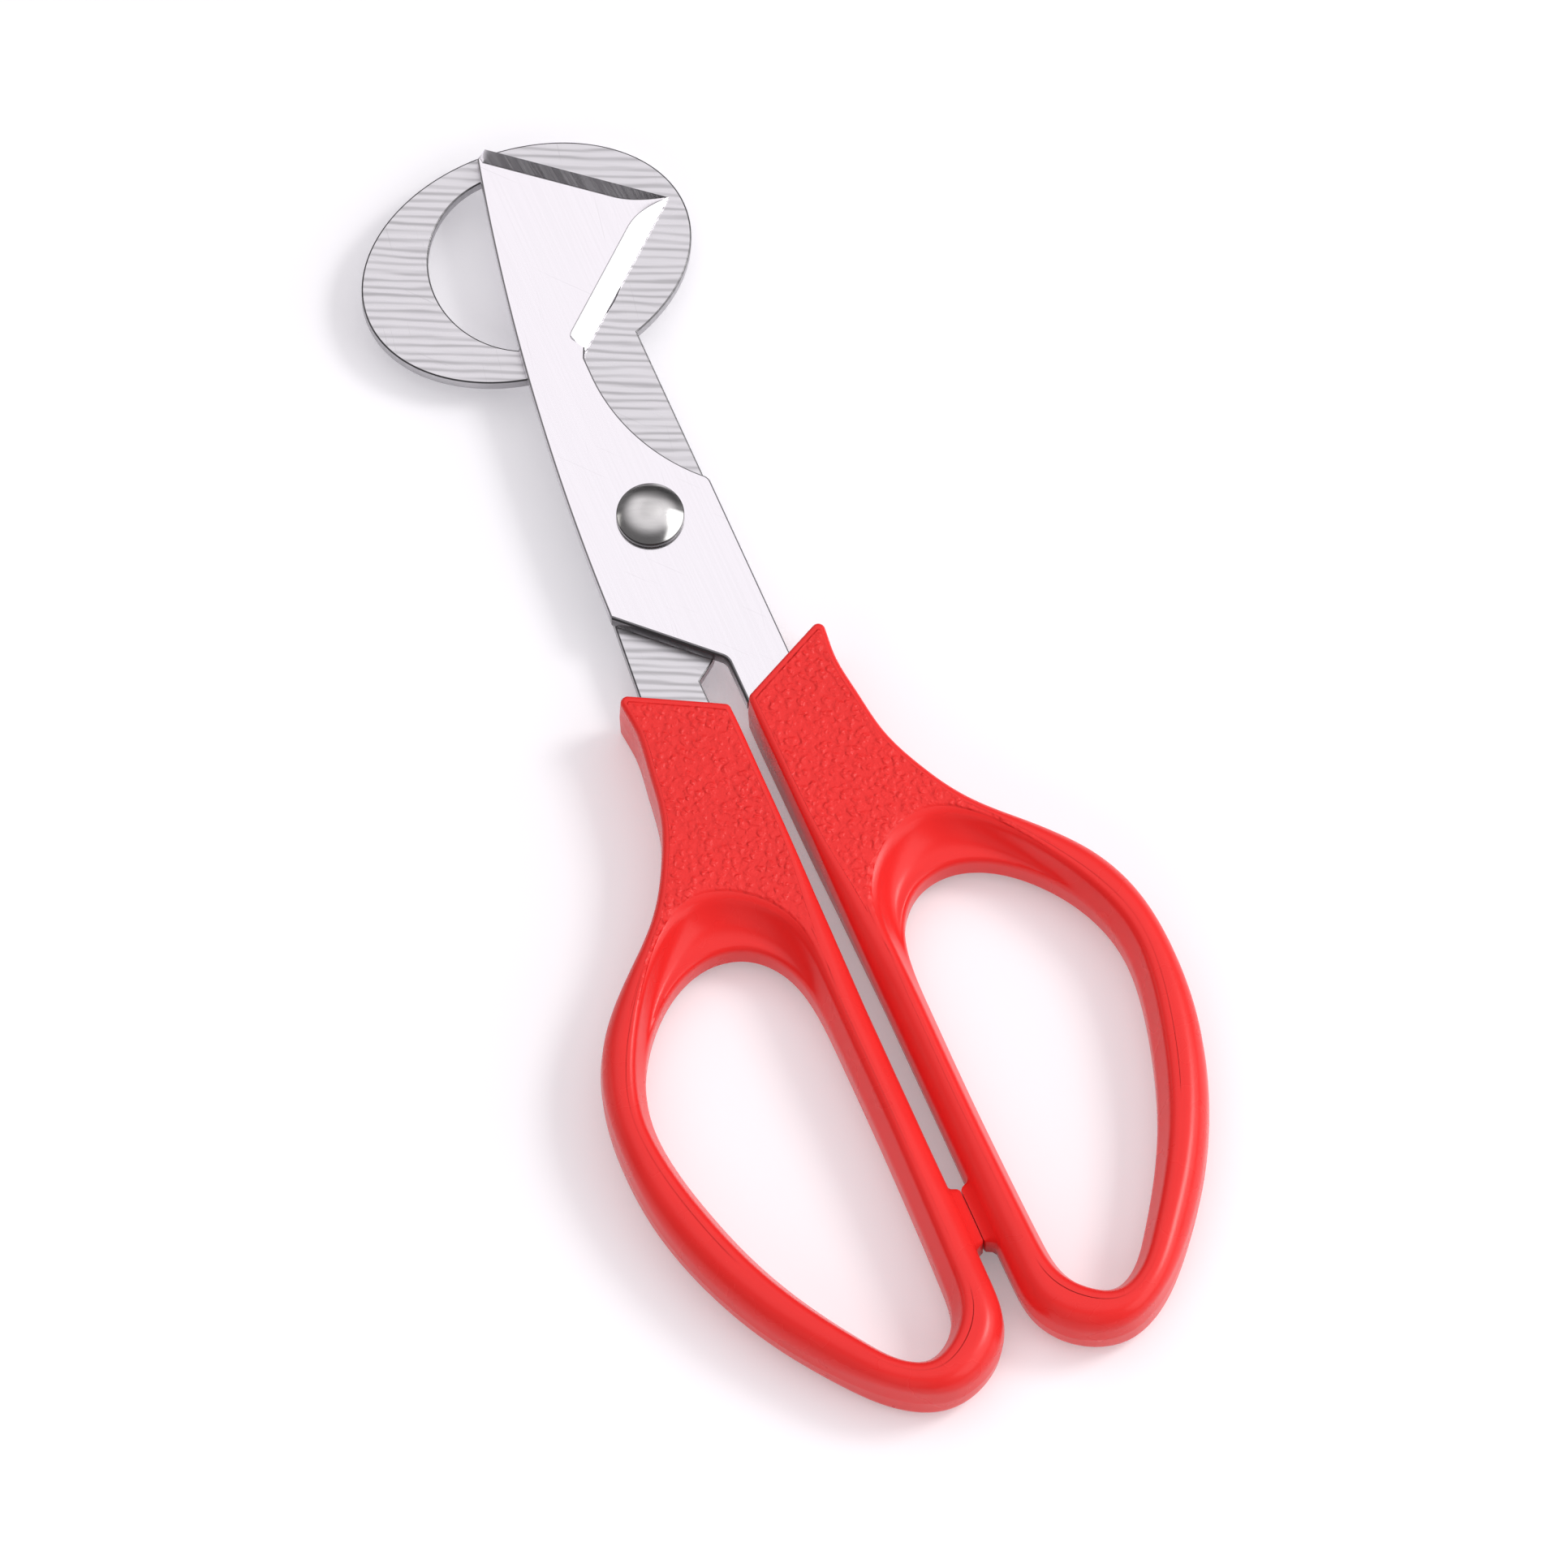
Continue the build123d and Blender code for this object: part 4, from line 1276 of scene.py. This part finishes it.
def camera_axes(settings):
    """Camera's right, up and backward directions, from its lean and the tool's turn in the picture."""
    tilt, turn = settings.tilt, settings.turn
    right = Vector((cos(turn), -sin(turn), 0))
    up = Vector((sin(turn) * cos(tilt), cos(turn) * cos(tilt), sin(tilt)))
    return right, up, right.cross(up)


def make_camera(settings):
    """Long lens from the photograph's direction, placed so that the rivet's seat falls on its pixel."""
    right, up, back = camera_axes(settings)
    seat = Vector((PIVOT[0], PIVOT[1], BLADE_LEVELS[1]))
    aside = (PHOTO_PIVOT[0] - PHOTO_WIDTH / 2) / PHOTO_SCALE
    above = (PHOTO_WIDTH / 2 - PHOTO_PIVOT[1]) / PHOTO_SCALE
    middle = seat - right * aside - up * above
    data = bpy.data.cameras.new("photo_view")
    data.lens = data.sensor_width * settings.camera_distance * PHOTO_SCALE / PHOTO_WIDTH
    data.clip_start = 0.1
    data.clip_end = 30.0
    camera = new_object("photo_view", data)
    turn = Matrix((right, up, back)).transposed().to_4x4()
    camera.matrix_world = Matrix.Translation(middle + back * settings.camera_distance) @ turn
    bpy.context.scene.camera = camera


def make_lamp(name, power, place, size, tint, mirrored):
    """Soft lamp, width by height, that looks at the tool. Shiny surfaces show it if it is mirrored."""
    data = bpy.data.lights.new(name, "AREA")
    data.shape = "RECTANGLE"
    data.size, data.size_y = size
    data.energy = power
    data.color = tint
    lamp = new_object(name, data)
    lamp.location = place
    lamp.rotation_euler = (-Vector(place)).to_track_quat("-Z", "Y").to_euler()
    lamp.visible_glossy = mirrored


def make_floor(settings):
    """Broad pale floor with a faint unevenness, as a square grid. It is brighter where the camera or a
    reflection sees it."""
    side = np.linspace(-FLOOR_REACH, FLOOR_REACH, FLOOR_STEPS + 1)
    x, y = np.meshgrid(side, side)
    vertices = np.column_stack([x.ravel(), y.ravel(), np.zeros(x.size)])
    row, column = np.meshgrid(np.arange(FLOOR_STEPS), np.arange(FLOOR_STEPS), indexing="ij")
    first = (row * (FLOOR_STEPS + 1) + column).ravel()
    above = first + FLOOR_STEPS + 1
    faces = np.column_stack([first, first + 1, above + 1, above])
    mesh = bpy.data.meshes.new("floor")
    mesh.from_pydata(vertices.tolist(), [], faces.tolist())
    material, board, shader = new_material("pale_floor")
    patch = board.smudges(FLOOR_PATCH)
    tone = board.mix(patch, *(shade(settings.floor, share) for share in FLOOR_TONES))
    board.feed(shader.inputs["Base Color"], tone)
    shader.inputs["Roughness"].default_value = 0.6
    shader.inputs["Specular IOR Level"].default_value = 0.2
    path = board.add("LightPath").outputs
    seen = board.maths("MAXIMUM", path["Is Camera Ray"], path["Is Glossy Ray"])
    board.feed(shader.inputs["Emission Color"], tone)
    board.feed(shader.inputs["Emission Strength"], board.maths("MULTIPLY", seen, settings.floor_lift))
    mesh.materials.append(material)
    floor = new_object("floor", mesh)


def make_room(settings):
    """Dim light from all round and a bright ceiling, whose middle is the direction that the blades mirror
    to the camera. The camera sees the room as plain white."""
    world = bpy.data.worlds.new("studio")
    world.use_nodes = True
    board = Board(world.node_tree)
    back = next(node for node in world.node_tree.nodes if node.type == "BACKGROUND")
    seen = board.add("LightPath").outputs["Is Camera Ray"]
    direction = board.add("TexCoord").outputs["Generated"]
    mirrored = camera_axes(settings)[2] * Vector((-1, -1, 1))
    overhead = board.vector("DOT_PRODUCT", direction, mirrored)["Value"]
    ceiling = board.ramp(overhead, *CEILING_SPAN, settings.horizon, settings.zenith)
    far_side = board.vector("DOT_PRODUCT", direction, DARK_SIDE)["Value"]
    strength = board.maths("MULTIPLY", ceiling, board.ramp(far_side, *DARK_SPAN, 1.0, DARK_SHARE))
    white = board.maths("MULTIPLY_ADD", seen, board.maths("SUBTRACT", 1.0, strength), strength)
    board.feed(back.inputs["Color"], ROOM_TINT)
    board.feed(back.inputs["Strength"], white)
    bpy.context.scene.world = world


def make_stage(settings):
    """Camera, floor, room and lamps."""
    make_camera(settings)
    make_floor(settings)
    make_room(settings)
    make_lamp("key", settings.key, (0.79, -0.07, 0.77), (0.30, 0.30), (1.0, 0.985, 0.97), True)
    make_lamp("side_box", settings.box, (0.80, -0.42, 0.60), (1.4, 0.80), (1.0, 1.0, 1.0), True)
    make_lamp("fill", settings.fill, (-0.78, 0.57, 0.26), (0.4, 0.4), (1.0, 0.985, 0.95), True)
    make_lamp("front", settings.front, (-0.62, -0.62, 0.45), (0.8, 0.8), (1.0, 0.985, 1.0), False)
    bpy.context.scene.view_settings.view_transform = "Standard"


# Operators and panel


class SCISSORS_OT_stage(bpy.types.Operator):
    """Set up the camera, the floor and the lamps"""

    bl_idname = "scissors.stage"
    bl_label = "Stage"

    def execute(self, context):
        make_stage(context.scene.scissors_stage)
        return {"FINISHED"}


class SCISSORS_OT_grips(bpy.types.Operator):
    """Build the two moulded loop grips"""

    bl_idname = "scissors.grips"
    bl_label = "Loop grips"

    def execute(self, context):
        settings = context.scene.scissors_grips
        material = red_plastic(settings)
        make_grip("left_loop_grip", "ring_grip", RING_BODY, True, material, settings)
        make_grip("right_loop_grip", "cutting_grip", CUTTING_BODY, False, material, settings)
        return {"FINISHED"}


class SCISSORS_OT_ring_blade(bpy.types.Operator):
    """Build the ring blade that holds the egg"""

    bl_idname = "scissors.ring_blade"
    bl_label = "Ring blade"

    def execute(self, context):
        make_ring_blade(context.scene.scissors_steel)
        return {"FINISHED"}


class SCISSORS_OT_cutting_blade(bpy.types.Operator):
    """Build the pointed cutting blade"""

    bl_idname = "scissors.cutting_blade"
    bl_label = "Cutting blade"

    def execute(self, context):
        make_cutting_blade(context.scene.scissors_steel)
        return {"FINISHED"}


class SCISSORS_OT_rivet(bpy.types.Operator):
    """Build the domed rivet and its washer"""

    bl_idname = "scissors.rivet"
    bl_label = "Rivet and washer"

    def execute(self, context):
        material = rivet_steel(context.scene.scissors_steel)
        make_rivet(material)
        make_washer(material)
        return {"FINISHED"}


OPERATORS = [
    SCISSORS_OT_stage,
    SCISSORS_OT_ring_blade,
    SCISSORS_OT_cutting_blade,
    SCISSORS_OT_rivet,
    SCISSORS_OT_grips,
]
SETTINGS = {
    "scissors_grips": GripSettings,
    "scissors_steel": SteelSettings,
    "scissors_stage": StageSettings,
}


class SCISSORS_PT_panel(bpy.types.Panel):
    """Lists the pieces and the sizes and colours that can be changed"""

    bl_idname = "SCISSORS_PT_panel"
    bl_label = "Egg scissors"
    bl_space_type = "VIEW_3D"
    bl_region_type = "UI"
    bl_category = "Egg scissors"

    def draw(self, context):
        for operator in OPERATORS:
            self.layout.operator(operator.bl_idname)
        for key in SETTINGS:
            settings = getattr(context.scene, key)
            box = self.layout.box()
            for name in settings.__annotations__:
                box.prop(settings, name)


CLASSES = [*SETTINGS.values(), *OPERATORS, SCISSORS_PT_panel]


def register():
    for entry in CLASSES:
        bpy.utils.register_class(entry)
    for key, group in SETTINGS.items():
        setattr(bpy.types.Scene, key, PointerProperty(type=group))


def unregister():
    for key in SETTINGS:
        delattr(bpy.types.Scene, key)
    for entry in reversed(CLASSES):
        bpy.utils.unregister_class(entry)


def main():
    """Builds every piece in order."""
    register()
    bpy.ops.scissors.stage()
    bpy.ops.scissors.ring_blade()
    bpy.ops.scissors.cutting_blade()
    bpy.ops.scissors.rivet()
    bpy.ops.scissors.grips()


if __name__ == "__main__":
    main()
